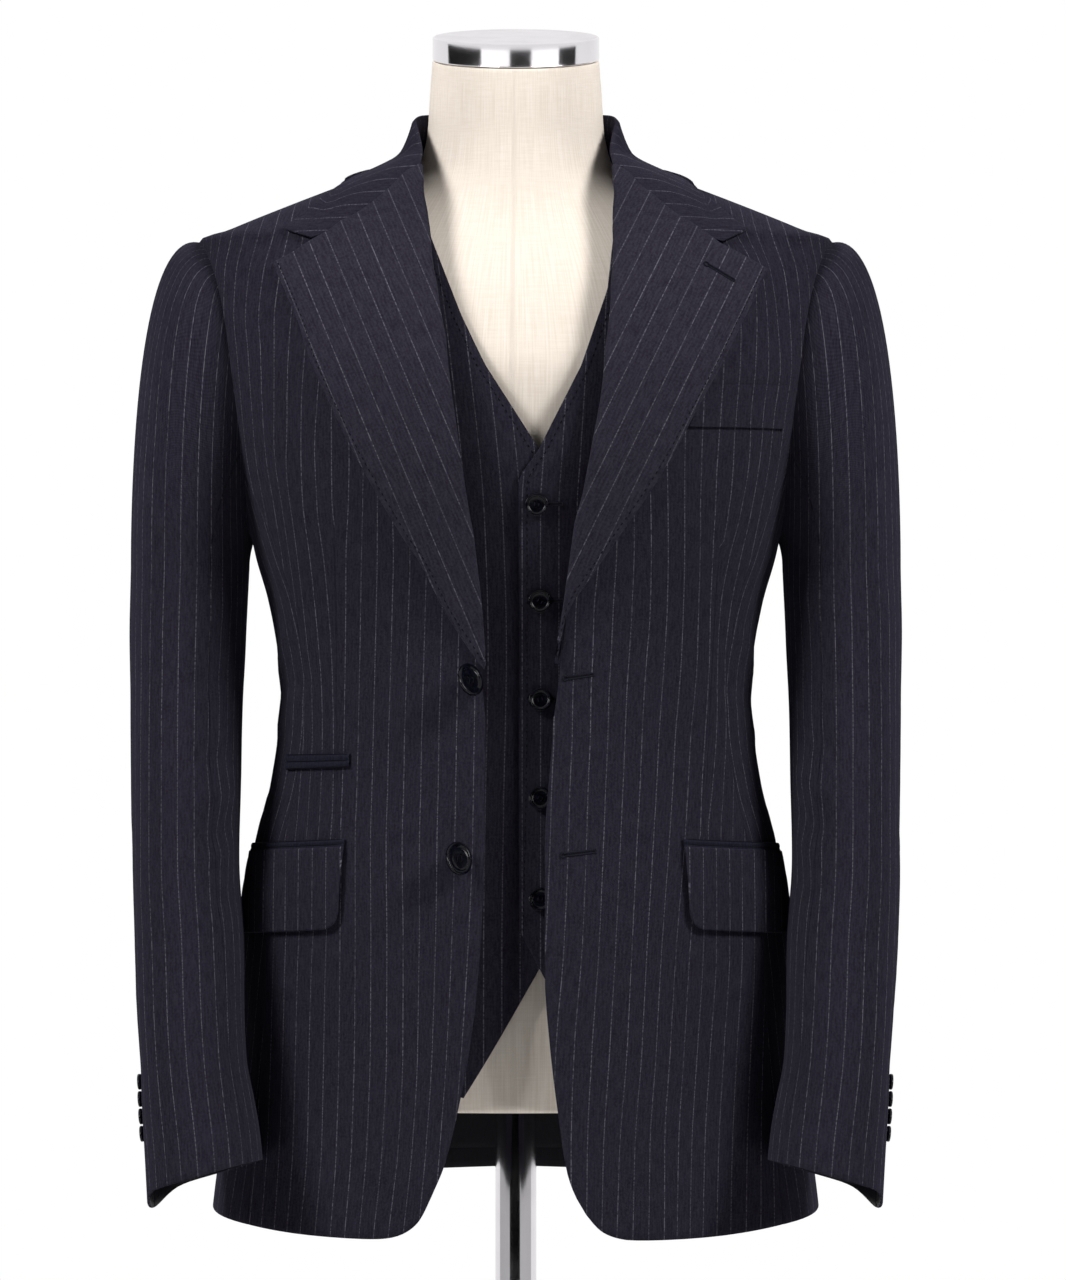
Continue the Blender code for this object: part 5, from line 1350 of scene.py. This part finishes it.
def pockets():
    """Flaps and jets at the hips, the ticket pocket's jets and the chest welt."""
    lay = 1 - 0.9 * ease(spread(FLAP_COLUMNS), 0.62, 1.0)  # they lie flat where they run round to the side
    bulge = 1.2 * np.sin(np.pi * (1 - spread(16)[:, None]) * 0.8)
    for side in (-1, 1):
        tail = "_" + WORN[side]
        flap, jets = flap_corners(side)
        patch = pocket_patch(flap, FLAP_COLUMNS, 16, 11.0)
        lay_pocket("flap", side, patch, OVER + 0.3 + (CLOTH + 0.2 + bulge) * lay, CLOTH, SUIT, tail, 770, 0.9)
        patch = pocket_patch(jets, FLAP_COLUMNS, 12)
        lay_pocket("hip_jets", side, patch, OVER + 0.2 + jet_profile(12) * lay, 1.0, JETTING, tail)
    patch = pocket_patch(front_corners(TICKET_JETS), 22, 14)
    lay_pocket("ticket_jets", -1, patch, OVER + 0.2 + jet_profile(14), 1.2, JETTING)
    patch = pocket_patch(front_corners(CHEST_POCKET), 24, 10)
    lay_pocket("chest_welt", 1, patch, OVER + 0.3, 0.4, SUIT, rim=0.2)


# ---------------------------------------------------------------- waistcoat
VEST_ROWS, VEST_HOLE_ROWS = 84, 50
BACK_HOLE_SHARE, BACK_TOP_TURN = 0.93, 96  # of the front armhole's turn; where the back ends at the neck


def vest_rim():
    """Heights and turns up the waistcoat's side seam and round the front of its armhole."""
    hole_line = along(softened(WAISTCOAT_HOLE, 2), VEST_HOLE_ROWS)[1:]
    seam_line = np.linspace(WAISTCOAT_CUTAWAY[1][2][1], WAISTCOAT_HOLE_LOW, VEST_ROWS)
    heights = np.concatenate([seam_line, hole_line[:, 0]])
    return heights, np.concatenate([np.full(VEST_ROWS, 90.0), hole_line[:, 1]])


def vest_grid(side):
    """Points, normals and place in the cloth of a waistcoat front, its closing edge first."""
    corner, point, hem = WAISTCOAT_CUTAWAY[side]
    heights, turns = vest_rim()
    right = np.stack([side * turns, heights], 1)
    levels = (hem[1], WAISTCOAT_HOLE_LOW, heights[-1])
    z = np.interp(heights, levels, (corner[1], WAISTCOAT_HOLE_LOW, WAISTCOAT_NECK))
    v = np.array(WAISTCOAT_V[side], float)
    x = np.where(z < v[0, 0], WAISTCOAT_CLOSE[side], np.interp(z, v[:, 0], v[:, 1]))
    left = np.stack([waistcoat.turn_at(x, z), z], 1)
    share = spread(46)
    path = [(float(waistcoat.turn_at(px, pz)), pz) for px, pz in (corner, point)] + [tuple(right[0])]
    low = along(path, share)
    low[int(np.abs(low[:, 1] - point[1]).argmin())] = path[1]
    patch = coons(left, right, low, between(left[-1], right[-1], share), 0.35, share)
    turn, z = patch[..., 0], patch[..., 1]
    lap = WAISTCOAT_LAP if side > 0 else 0.0
    off = np.where(turn * side < 0, lap, lap * (1 - np.clip((np.abs(turn) - 12) / 20, 0, 1)))
    points, normals = waistcoat.spot(turn, z)
    points = points + normals * off[..., None]
    points = fold_over(points, normals, WAISTCOAT_FOLDS[side], waistcoat.at)
    line = table_curve(WAISTCOAT_STRIPES[side])(z)
    from_line = waistcoat.girth(turn, z) * np.sign(turn)
    from_line = from_line - waistcoat.girth(waistcoat.turn_at(line, z), z) * np.sign(line)
    return points, normals, np.stack([from_line, waistcoat.way(z)], -1)


def vest_front(side):
    name = f"waistcoat_front_cloth_{WORN[side]}"
    points, normals, uv = vest_grid(side)
    return cloth_shell(name, points, normals, THIN_CLOTH, uv, (VEST, LINING), rim=0.7)


def vest_back():
    heights, turns = vest_rim()
    away = np.where(np.arange(len(heights)) < VEST_ROWS, 90.3, 180 - turns * BACK_HOLE_SHARE)
    away[-1] = BACK_TOP_TURN
    share = spread(90) * 2 - 1
    turns = 180 + share[None] * (180 - away[:, None])
    z = heights[:, None] + 0 * turns
    points, normals = waistcoat.spot(turns, z)
    uv = np.stack([waistcoat.girth(180 - np.abs(180 - turns), z) * np.sign(turns - 180), z], -1)
    return cloth_shell("waistcoat_back_cloth", points, normals, THIN_CLOTH, uv, (LINING, LINING), rim=0.5)


# ---------------------------------------------------------------- buttons, buttonholes and stitches
def frame_at(normal, up):
    """Columns across, up and out."""
    out = unit(np.array(normal, float))
    across = unit(np.cross(up, out))
    return np.stack([across, np.cross(out, across), out], 1)


def tube(line, radius, around=8, flat=1.0, out=(0, 0, 1)):
    """Points and faces of a closed round rod along a line, its ends rounded off."""
    line = np.asarray(line, float)
    way = unit(np.gradient(line, axis=0))
    side = unit(np.cross(way, np.asarray(out, float)))
    lift = np.cross(side, way)
    size = np.full(len(line), 1.0)
    size[0] = size[-1] = 0.45
    a = np.arange(around) / around * 2 * math.pi
    points = []
    for k in range(len(line)):
        rim = side[k] * np.cos(a)[:, None] + lift[k] * np.sin(a)[:, None] * flat
        points.append(line[k] + rim * radius * size[k])
    points = np.concatenate([*points, line[:1] - way[:1] * radius * 0.4, line[-1:] + way[-1:] * radius * 0.4])
    return points, closed_rings(len(line), around)


def closed_rings(rings, around):
    """Faces round a stack of rings, closed at each end on one of the two points that follow them."""
    faces = []
    for k in range(rings - 1):
        for m in range(around):
            n = (m + 1) % around
            faces.append([k * around + m, k * around + n, (k + 1) * around + n, (k + 1) * around + m])
    last, tip = (rings - 1) * around, rings * around
    for m in range(around):
        n = (m + 1) % around
        faces += [[n, m, tip], [last + m, last + n, tip + 1]]
    return faces


def joined(parts):
    """Several (points, faces) as one."""
    points, faces, start = [], [], 0
    for some, more in parts:
        points.append(some)
        faces += [[v + start for v in face] for face in more]
        start += len(some)
    return np.concatenate(points), faces


def two_kinds(first, second):
    """Two (points, faces) as one, with each face's kind."""
    return (*joined([first, second]), [0] * len(first[1]) + [1] * len(second[1]))


def turned(profile, steps):
    """A turned body from (radius, height) rows; radius 0 closes an end."""
    points, faces, rings = [], [], []
    for radius, height in profile:
        if radius == 0:
            rings.append([len(points)] * steps)
            points.append((0, 0, height))
            continue
        rings.append(list(range(len(points), len(points) + steps)))
        a = np.arange(steps) / steps * 2 * math.pi
        points += list(zip(radius * np.cos(a), radius * np.sin(a), np.full(steps, float(height))))
    for low, high in zip(rings, rings[1:]):
        for k in range(steps):
            m = (k + 1) % steps
            face = [low[k], low[m], high[m], high[k]]
            faces.append([v for n, v in enumerate(face) if v not in face[:n]])
    return np.array(points, float), faces


BUTTON_PROFILE = (  # share of the radius, share of the thickness
    (0, 0), (0.70, 0), (0.88, 0.05), (0.97, 0.20), (1.0, 0.42), (0.998, 0.70), (0.985, 0.88),
    (0.955, 0.985), (0.93, 1.0), (0.80, 1.0), (0.77, 0.96), (0.74, 0.82), (0.70, 0.72), (0.60, 0.68),
    (0.40, 0.66), (0, 0.645),
)
HOLE_PLACE, HOLE_RADIUS = 0.25, 0.085  # of the button's radius


def button_blank(radius, thick):
    """A rimmed button with four holes through it."""
    points, faces = turned([(r * radius, h * thick) for r, h in BUTTON_PROFILE], 48)
    body = mesh_piece("button_blank", points, faces, (HORN,))
    drills = []
    for a in (45, 135, 225, 315):
        spot = np.array([math.cos(math.radians(a)), math.sin(math.radians(a)), 0]) * HOLE_PLACE * radius
        bore = HOLE_RADIUS * radius
        rod, sides = turned([(0, -2), (bore, -2), (bore, thick + 2), (0, thick + 2)], 14)
        drills.append((rod + spot, sides))
    drill = mesh_piece("button_drill", *joined(drills), (HORN,))
    cut = body.modifiers.new("holes", "BOOLEAN")
    cut.operation, cut.object, cut.solver = "DIFFERENCE", drill, "EXACT"
    bpy.context.view_layer.update()
    mesh = body.evaluated_get(bpy.context.evaluated_depsgraph_get()).to_mesh()
    points = np.array([v.co[:] for v in mesh.vertices]) / MM
    faces = [list(p.vertices) for p in mesh.polygons]
    for scrap in (body, drill):
        bpy.data.objects.remove(scrap)
    return points, faces


def button(name, node, stock, centre, axes, size, root):
    """A sewn-on button: the stock, four threads over its holes, and the shank down to its root."""
    radius, thick, _ = size
    threads = []
    reach = HOLE_PLACE * radius * math.cos(math.pi / 4)
    for x in (-reach, reach):
        for shift in (-0.16, 0.16):
            y = np.linspace(-reach, reach, 7)
            lift = thick * 0.66 + 0.30 * (1 - (y / reach) ** 4) - 0.25 * (np.abs(y) > reach * 0.9)
            threads.append(tube(np.stack([np.full(7, x + shift), y, lift], 1), 0.17, 6))
    foot = (np.asarray(root) - centre) @ axes
    threads.append(tube(np.linspace((0, 0, 0.3), foot, 6), 1.3, 10, 1.0, (0, 1, 0)))
    points, faces, kinds = two_kinds(stock, joined(threads))
    obj = mesh_piece(name, points @ axes.T + np.asarray(centre), faces, (HORN, THREAD), kinds)
    obj.data.set_sharp_from_angle(angle=math.radians(40))
    finish_piece(obj, "navy_button", node)


VEST_TWIST = (0.15, 0.6, -0.3, 0.4, 0.1)  # how far each waistcoat button has turned on its thread


def front_buttons():
    stock = button_blank(*FRONT_BUTTON[:2])
    for k, (x, z, tip_left, tip_up) in enumerate(BUTTONS_FRONT, 1):
        spot, normal = jacket.spot(jacket.turn_at(x, z), z)
        axes = frame_at(normal + np.array([tip_left, 0, tip_up]), (0, 0, 1))
        centre = spot + normal * FRONT_BUTTON[2]
        button(f"coat_button_{k}", f"jacket_button_{k}", stock, centre, axes, FRONT_BUTTON, spot)
    stock = button_blank(*VEST_BUTTON[:2])
    for k, (x, z) in enumerate(BUTTONS_WAISTCOAT, 1):
        spot, normal = waistcoat.spot(waistcoat.turn_at(x, z), z)
        root, centre = (spot + normal * (WAISTCOAT_LAP + out) for out in (0, VEST_BUTTON[2]))
        axes = frame_at(normal, (math.sin(VEST_TWIST[k - 1]), 0, math.cos(VEST_TWIST[k - 1])))
        button(f"vest_button_{k}", f"waistcoat_button_{k}", stock, centre, axes, VEST_BUTTON, root)


CUFF_STEPS = (-0.35, -0.15)  # where round the arm the cuff's buttons sit, and a place beside them


def cuff_buttons():
    stock = button_blank(*CUFF_BUTTON[:2])
    turn = np.radians(np.array(CUFF_STEPS) / HOLE_STEPS * 360)
    for side in (-1, 1):
        for k in range(4):
            z = CUFF_BUTTON_LOW + CUFF_BUTTON_STEP * k
            spot, beside = sleeve_ring(side, turn, np.full(2, float(z)))
            higher = sleeve_ring(side, turn, np.full(2, z + 8.0))[0]
            normal = unit(np.cross(beside - spot, higher - spot))
            normal = normal * np.sign(normal[0] * side)
            axes = frame_at(normal, higher - spot)
            centre, root = spot + normal * CUFF_BUTTON[2], spot + normal * CLOTH / 2
            name, node = (f"{kind}_button_{WORN[side]}_{k + 1}" for kind in ("sleeve", "cuff"))
            button(name, node, stock, centre, axes, CUFF_BUTTON, root)


# (x, height) of both ends: two on the wearer's left front, and one on the left lapel.
FRONT_BUTTONHOLES = (((34.5, 954.5), (53, 957)), ((33, 836), (54, 838.5)))
LAPEL_BUTTONHOLE = ((130, 1232.5), (148.5, 1223.5))
VEST_HOLE = (8.6, 17.5)  # where a waistcoat buttonhole starts and ends, beside its button
LIP_APART, LIP_RADIUS = 0.95, 0.62


def buttonhole(start, end, out):
    """Two worked lips, a round eye at the start and a bar at the end, over a dark rod that paints the shade
    in the slit.
    """
    way, out = unit(end - start), unit(out)
    side = np.cross(out, way)
    t = np.linspace(0, 1, 9)[:, None]
    lines = [start + (end - start) * t + side * s * LIP_APART for s in (-1, 1)]
    a = np.linspace(0.35, 2 * math.pi - 0.35, 15)[:, None]
    lines.append(start - way * 1.0 + (way * np.cos(a) + side * np.sin(a)) * 1.6)
    lines.append(end + side * np.linspace(-1.5, 1.5, 5)[:, None])
    # painted shade: a near-black rod sunk between the lips stands in for the shaded gap of the slit
    slit = tube(start + (end - start) * t - out * 0.1, 0.55, 6, 0.7, out)
    return [tube(line, LIP_RADIUS, 8, 0.8, out) for line in lines], slit


def sewn_holes(name, holes):
    """Buttonholes as one piece, from the (point, outward direction) of both ends and how far they rise."""
    lips, slit_shades = [], []
    for ends, rise in holes:
        more, slit = buttonhole(*(spot + out * rise for spot, out in ends), ends[0][1])
        lips += more
        slit_shades.append(slit)
    # the lips take the navy thread; the rods in the slits are painted shade in the near-black
    points, faces, kinds = two_kinds(joined(lips), joined(slit_shades))
    finish_piece(mesh_piece(name, points, faces, (THREAD, DARK_THREAD_AND_SHADE), kinds), "navy_button")


STITCH_STEP, STITCH_LENGTH, STITCH_RISE, STITCH_RADIUS = 4.6, 1.9, 0.1, 0.42


def rim_stitches(grid, normals, inset=3.0):
    """Short pick stitches beside the first column of a grid, set in from its edge."""
    outs = normals[:, 0]
    line = grid[:, 0] + unit(grid[:, 3] - grid[:, 0]) * inset + outs * STITCH_RISE
    way = lengths(line)
    parts = []
    for start in np.arange(3.0, way[-1] - 3, STITCH_STEP):
        share = np.array([start, start + STITCH_LENGTH / 2, start + STITCH_LENGTH])
        spots = np.stack([np.interp(share, way, line[:, k]) for k in range(3)], 1)
        out = outs[min(int(np.searchsorted(way, start)), len(outs) - 1)]
        spots[1] += out * STITCH_RISE
        parts.append(tube(spots, STITCH_RADIUS, 6, 0.7, out))
    return parts


def mouth_shade_lines():
    """Near-black rods that paint the shade in the slit of each jetted pocket and in the grooves where its
    jets are sewn on.
    """
    patches = [(front_corners(TICKET_JETS), (0.03, 0.5, 0.97))]
    patches += [(flap_corners(side)[1], (0.03, 0.5)) for side in (-1, 1)]
    lines = []
    for corners, shares in patches:
        c = np.array(corners, float)
        for down in shares:
            ends = c[0] + (c[3] - c[0]) * down, c[1] + (c[2] - c[1]) * down
            line = between(*ends, np.linspace(0.01, 0.99, 24))
            spots, out = jacket.spot(line[:, 0], line[:, 1])
            # painted shade: each rod is near-black, standing in for the shade in a slit or seam groove
            lines.append(tube(spots + out * (OVER + 0.55), STITCH_RADIUS, 6, 0.6, out[12]))
    return lines


def holes_and_stitches():
    def spots_on(body, places):
        return [body.spot(body.turn_at(x, z), z) for x, z in places]

    fronts = [(spots_on(jacket, ends), 0.3) for ends in FRONT_BUTTONHOLES]
    flat, outs = (part.reshape(-1, 3) for part in lapel_grid(1))
    near = [int(np.hypot(flat[:, 0] - x, flat[:, 2] - z).argmin()) for x, z in LAPEL_BUTTONHOLE]
    sewn_holes("jacket_buttonholes", [*fronts, ([(flat[k], outs[k]) for k in near], 0.25)])
    ends = [spots_on(waistcoat, [(x + beside, z) for beside in VEST_HOLE]) for x, z in BUTTONS_WAISTCOAT]
    sewn_holes("waistcoat_buttonholes", [(pair, WAISTCOAT_LAP + 0.25) for pair in ends])
    lapels, fronts = [], []
    for side in (-1, 1):
        lapels += rim_stitches(*lapel_grid(side))
        fronts += rim_stitches(*vest_grid(side)[:2], 5.0)
    for name, parts, slot in (
        ("lapel_pick_stitches", lapels, "pinstripe_wool"),
        ("waistcoat_pick_stitches", fronts, "pinstripe_wool"),
        ("pocket_mouth_shade_lines", mouth_shade_lines(), "plain_jetting"),
    ):
        finish_piece(mesh_piece(name, *joined(parts), (DARK_THREAD_AND_SHADE,)), slot)


# ---------------------------------------------------------------- dress form and stand
def leaned(points):
    """Leans the neck forward, up to its cap's slope."""
    share = np.clip((points[..., 2] - NECK_BENDS) / (NECK_TOP - NECK_BENDS), 0, 1) ** 1.5
    points = points.copy()
    points[..., 2] += share * math.tan(math.radians(NECK_TILT)) * points[..., 1]
    return points


def linen_form():
    """The stuffed body, its foot turned under, with pressed seams at the sides and the middle."""
    stretches = (660, 700, 14), (706, 1300, 100), (1304, LINEN_TOP, 26)  # first and last height, rows
    heights = np.concatenate([np.linspace(*stretch) for stretch in stretches])
    turns = np.linspace(0, 360, 181)[:-1]
    patch_turn, patch_z = np.meshgrid(turns, heights)
    points, normals = form.spot(patch_turn, patch_z)
    for seam_turn in (90, 180, 270):
        apart = np.abs(patch_turn - seam_turn) * 2.2
        points -= normals * (0.8 * np.exp(-((apart / 2.0) ** 2)))[..., None]
    tuck = form.spot(patch_turn[-1], np.full(len(turns), LINEN_TOP))
    points = leaned(np.concatenate([points, (tuck[0] - tuck[1] * 0.5 + (0, 0, 0.9))[None]]))
    uvs = np.stack([patch_turn * 1.9, patch_z], -1)
    uvs = np.concatenate([uvs, uvs[-1:] + (0, 1)]).reshape(-1, 2)
    flat = np.concatenate([points.reshape(-1, 3), points[0].mean(0)[None], points[-1].mean(0)[None]])
    faces = closed_rings(*points.shape[:2])
    obj = mesh_piece("linen_form", flat, faces, (LINEN,))
    corners = np.concatenate([uvs, [[0, 0], [0, 0]]])[[v for face in faces for v in face]] * MM
    obj.data.uv_layers.new(name="cloth").data.foreach_set("uv", corners.reshape(-1))
    finish_piece(obj, "cream_linen", "form_torso")


def arc_profile(radius, height, bend, inward, steps=7):
    """Rows (radius, height) round an edge, from its side to its face."""
    rows = []
    for a in np.linspace(0, math.pi / 2, steps):
        rows.append((radius - bend + bend * math.cos(a), height + inward * bend * math.sin(a)))
    return rows


def metal_body(name, node, slot, profile, steps, mats, tilt=0.0, bands=None):
    """A turned body tilted to the front; its faces past this many bands take the second finish."""
    points, faces = turned(profile, steps)
    points[:, 2] += math.tan(math.radians(tilt)) * points[:, 1]
    kinds = bands and [int(k // steps >= bands) for k in range(len(faces))]
    obj = mesh_piece(name, points, faces, mats, kinds)
    obj.data.set_sharp_from_angle(angle=math.radians(30))
    finish_piece(obj, slot, node)


def stand():
    edge = [*arc_profile(CAP_RADIUS, CAP_FOOT + 0.9, 0.9, -1)[::-1],
            *arc_profile(CAP_RADIUS, CAP_FOOT + CAP_BAND, CAP_EDGE, 1)]
    top = CAP_FOOT + CAP_BAND + CAP_EDGE
    rows = [(0, CAP_FOOT), *edge, (CAP_RADIUS * 0.5, top), (0, top)]
    mats = (CHROME, SATIN_CAP)
    metal_body("polished_neck_cap", "neck_cap", "chrome", rows, 144, mats, NECK_TILT, len(edge))
    foot = BASE_THICK + CLEAR
    rows = [(0, foot), (POLE_RADIUS, foot), (POLE_RADIUS, POLE_HEAD), (0, POLE_HEAD)]
    metal_body("polished_pole", "pole", "chrome", rows, 96, (CHROME,))
    edge = [*arc_profile(BASE_RADIUS, 2, 2, -1)[::-1], *arc_profile(BASE_RADIUS, BASE_THICK - 3, 3, 1)]
    rows = [(0, 0), *edge, (BASE_RADIUS * 0.5, BASE_THICK), (0, BASE_THICK)]
    metal_body("round_base", "base", "base_plate", rows, 160, (PLATE,))


# ---------------------------------------------------------------- build
def declare(obj, node, cut, *rests_on, slot="pinstripe_wool", held="hung"):
    """Finishes a cut piece of cloth; how large it was cut and what holds it are given but not used."""
    finish_piece(obj, slot, node)


def build():
    for side in (-1, 1):
        worn = WORN[side]
        for kind, panel in (("front", jacket_front), ("side", jacket_side), ("back", jacket_back)):
            declare(panel(side), f"jacket_{kind}_{worn}", kind, "form_torso")
        declare(lapel(side), f"lapel_{worn}", "lapel", f"front_cloth_{worn}", held="folded")
        top, under = sleeve(side)
        declare(top, f"sleeve_top_{worn}", "sleeve_top", f"front_cloth_{worn}")
        declare(under, f"sleeve_under_{worn}", "sleeve_under", f"side_cloth_{worn}")
        name = f"waistcoat_front_{worn}"
        declare(vest_front(side), name, "waistcoat_front", "linen_form", slot="waistcoat_wool")
    declare(collar(), "jacket_collar", "collar", "back_cloth_right", "back_cloth_left", held="folded")
    declare(back_lining(), "back_lining", "lining", "back_cloth_left", slot="dark_lining")
    declare(vest_back(), "waistcoat_back", "waistcoat_back", "linen_form", slot="dark_lining")
    pockets()
    front_buttons()
    cuff_buttons()
    holes_and_stitches()
    linen_form()
    stand()


# ---------------------------------------------------------------- camera, light and floor
def softbox(name, place, aim, size, watts):
    lamp = bpy.data.lights.new(name, "AREA")
    lamp.shape, lamp.size, lamp.size_y = "RECTANGLE", *size
    lamp.energy = watts
    obj = placed(name, lamp)
    obj.location = place
    way = np.array(aim, float) - np.array(place, float)
    tilt, turn = math.acos(-way[2] / np.linalg.norm(way)), math.atan2(way[1], way[0]) - math.pi / 2
    obj.rotation_euler = (tilt, 0, turn)
    obj.visible_glossy = obj.visible_camera = False


def seen_only_by(tree, *kinds):
    """1 for these kinds of ray, 0 for the rest."""
    path = put(tree, "LightPath").outputs
    total = path[kinds[0]]
    for kind in kinds[1:]:
        total = result(tree, "MAXIMUM", total, path[kind])
    return total


def studio():
    scene = bpy.context.scene
    scene.view_settings.view_transform = "Standard"
    world = bpy.data.worlds.new("white_studio")
    world.use_nodes = True
    tree = world.node_tree
    seen = seen_only_by(tree, "Is Camera Ray", "Is Glossy Ray", "Is Transmission Ray")
    back = tree.nodes["Background"]
    back.inputs["Color"].default_value = (1, 1, 1, 1)
    tree.links.new(span(tree, seen, 0.0, 1.0, WORLD_FILL, 1.0, soft=False), back.inputs["Strength"])
    scene.world = world
    for setup in SOFTBOXES:
        softbox(*setup)
    for name, (start, end), (low, high), glow in CARDS:
        reflector(name, start, end, low, high, glow)
    floor()
    lens = bpy.data.cameras.new("camera")
    lens.lens, lens.sensor_width, lens.clip_end = LENS, 36, 100
    camera = scene.camera = placed("camera", lens)
    camera.location, camera.rotation_euler = CAMERA_PLACE, (math.pi / 2, 0, 0)


LENS, CAMERA_PLACE = 112.5, (0.012, -2.8, 0.98)
WORLD_FILL = 0.07
FLOOR_RINGS = (2700, 1500, 700, 0)
SOFTBOXES = (
    # name, place, aim, (width, height), watts
    ("key_softbox", (-1.9, -1.25, 2.75), (0, 0, 1.1), (0.7, 0.9), 66),
    ("fill_softbox", (1.9, -1.25, 2.75), (0, 0, 1.1), (0.7, 0.9), 66),
    ("backdrop_light_right", (-1.7, 1.5, 1.3), (0, 0, 1.1), (1.0, 2.0), 9),
    ("backdrop_light_left", (1.7, 1.5, 1.3), (0, 0, 1.1), (1.0, 2.0), 9),
)
CARD_DISTANCE = 2.3
CARDS = (
    # name, (first, last turn from the front), (low, high) in metres, glow; only reflections show them
    ("dark_flag_right", (-106, -48), (1.36, 1.9), 0.01),
    ("white_card_right", (-48, -8), (1.36, 1.9), 1.5),
    ("dark_flag_middle", (-8, 21), (1.36, 1.9), 0.02),
    ("white_card_left", (21, 61), (1.36, 1.9), 1.5),
    ("dark_flag_left", (61, 90), (1.36, 1.9), 0.03),
    ("button_flag", (-23, 23), (0.62, 1.34), 0.0),
    ("button_glow_right", (-50, -24), (0.62, 1.34), 12.0),
    ("button_glow_left", (24, 50), (0.62, 1.34), 12.0),
    ("button_glow_side", (52, 68), (0.9, 1.34), 12.0),
    ("button_side_flag", (69, 125), (0.62, 1.34), 0.0),
    ("low_flag_middle", (-34, 23), (0.0, 0.6), 0.0),
    ("low_card_right", (-100, -34), (0.0, 0.6), 0.5),
    ("low_card_left", (23, 95), (0.0, 0.6), 0.54),
)


def reflector(name, start, end, low, high, glow):
    """A curved card round the object that shows only in reflections."""
    turns = np.radians(np.linspace(start, end, 12))
    rim = np.stack([np.sin(turns), -np.cos(turns)], 1) * CARD_DISTANCE / MM
    points = [(*spot, level / MM) for level in (low, high) for spot in rim]
    faces = [[k, k + 1, 13 + k, 12 + k] for k in range(11)]
    mat, tree, shader = blank(name)
    tree.nodes.remove(shader)
    light = put(tree, "Emission", (1, 1, 1, 1), glow)
    tree.links.new(light.outputs[0], tree.nodes["Material Output"].inputs["Surface"])
    card = mesh_piece(name, points, faces, (mat,))
    for kind in ("camera", "diffuse", "shadow", "transmission", "volume_scatter"):
        setattr(card, "visible_" + kind, False)


def floor():
    """A pale floor that keeps the shadow and runs out into white."""
    points, faces = turned([(radius, 0) for radius in FLOOR_RINGS], 96)
    mat, tree, shader = blank("pale_floor", Roughness=0.9)
    spot = put(tree, "TexCoord").outputs["Object"]
    speckle = put(tree, "TexNoise", spot, Scale=30.0, Detail=4.0).outputs[0]
    color(tree, shader, speckle, (0.86, 0.86, 0.86, 1), (0.9, 0.9, 0.9, 1))
    apart = put(tree, "VectorMath", spot, operation="LENGTH").outputs["Value"]
    far = span(tree, apart, 0.25, 1.3)
    share = times(tree, far, seen_only_by(tree, "Is Camera Ray", "Is Glossy Ray"))
    white = put(tree, "Emission", (1, 1, 1, 1), 1.0)
    mixed = put(tree, "MixShader", share, shader.outputs[0], white.outputs[0])
    tree.links.new(mixed.outputs[0], tree.nodes["Material Output"].inputs["Surface"])
    mesh_piece("floor", points, [face[::-1] for face in faces], (mat,))


build()
studio()
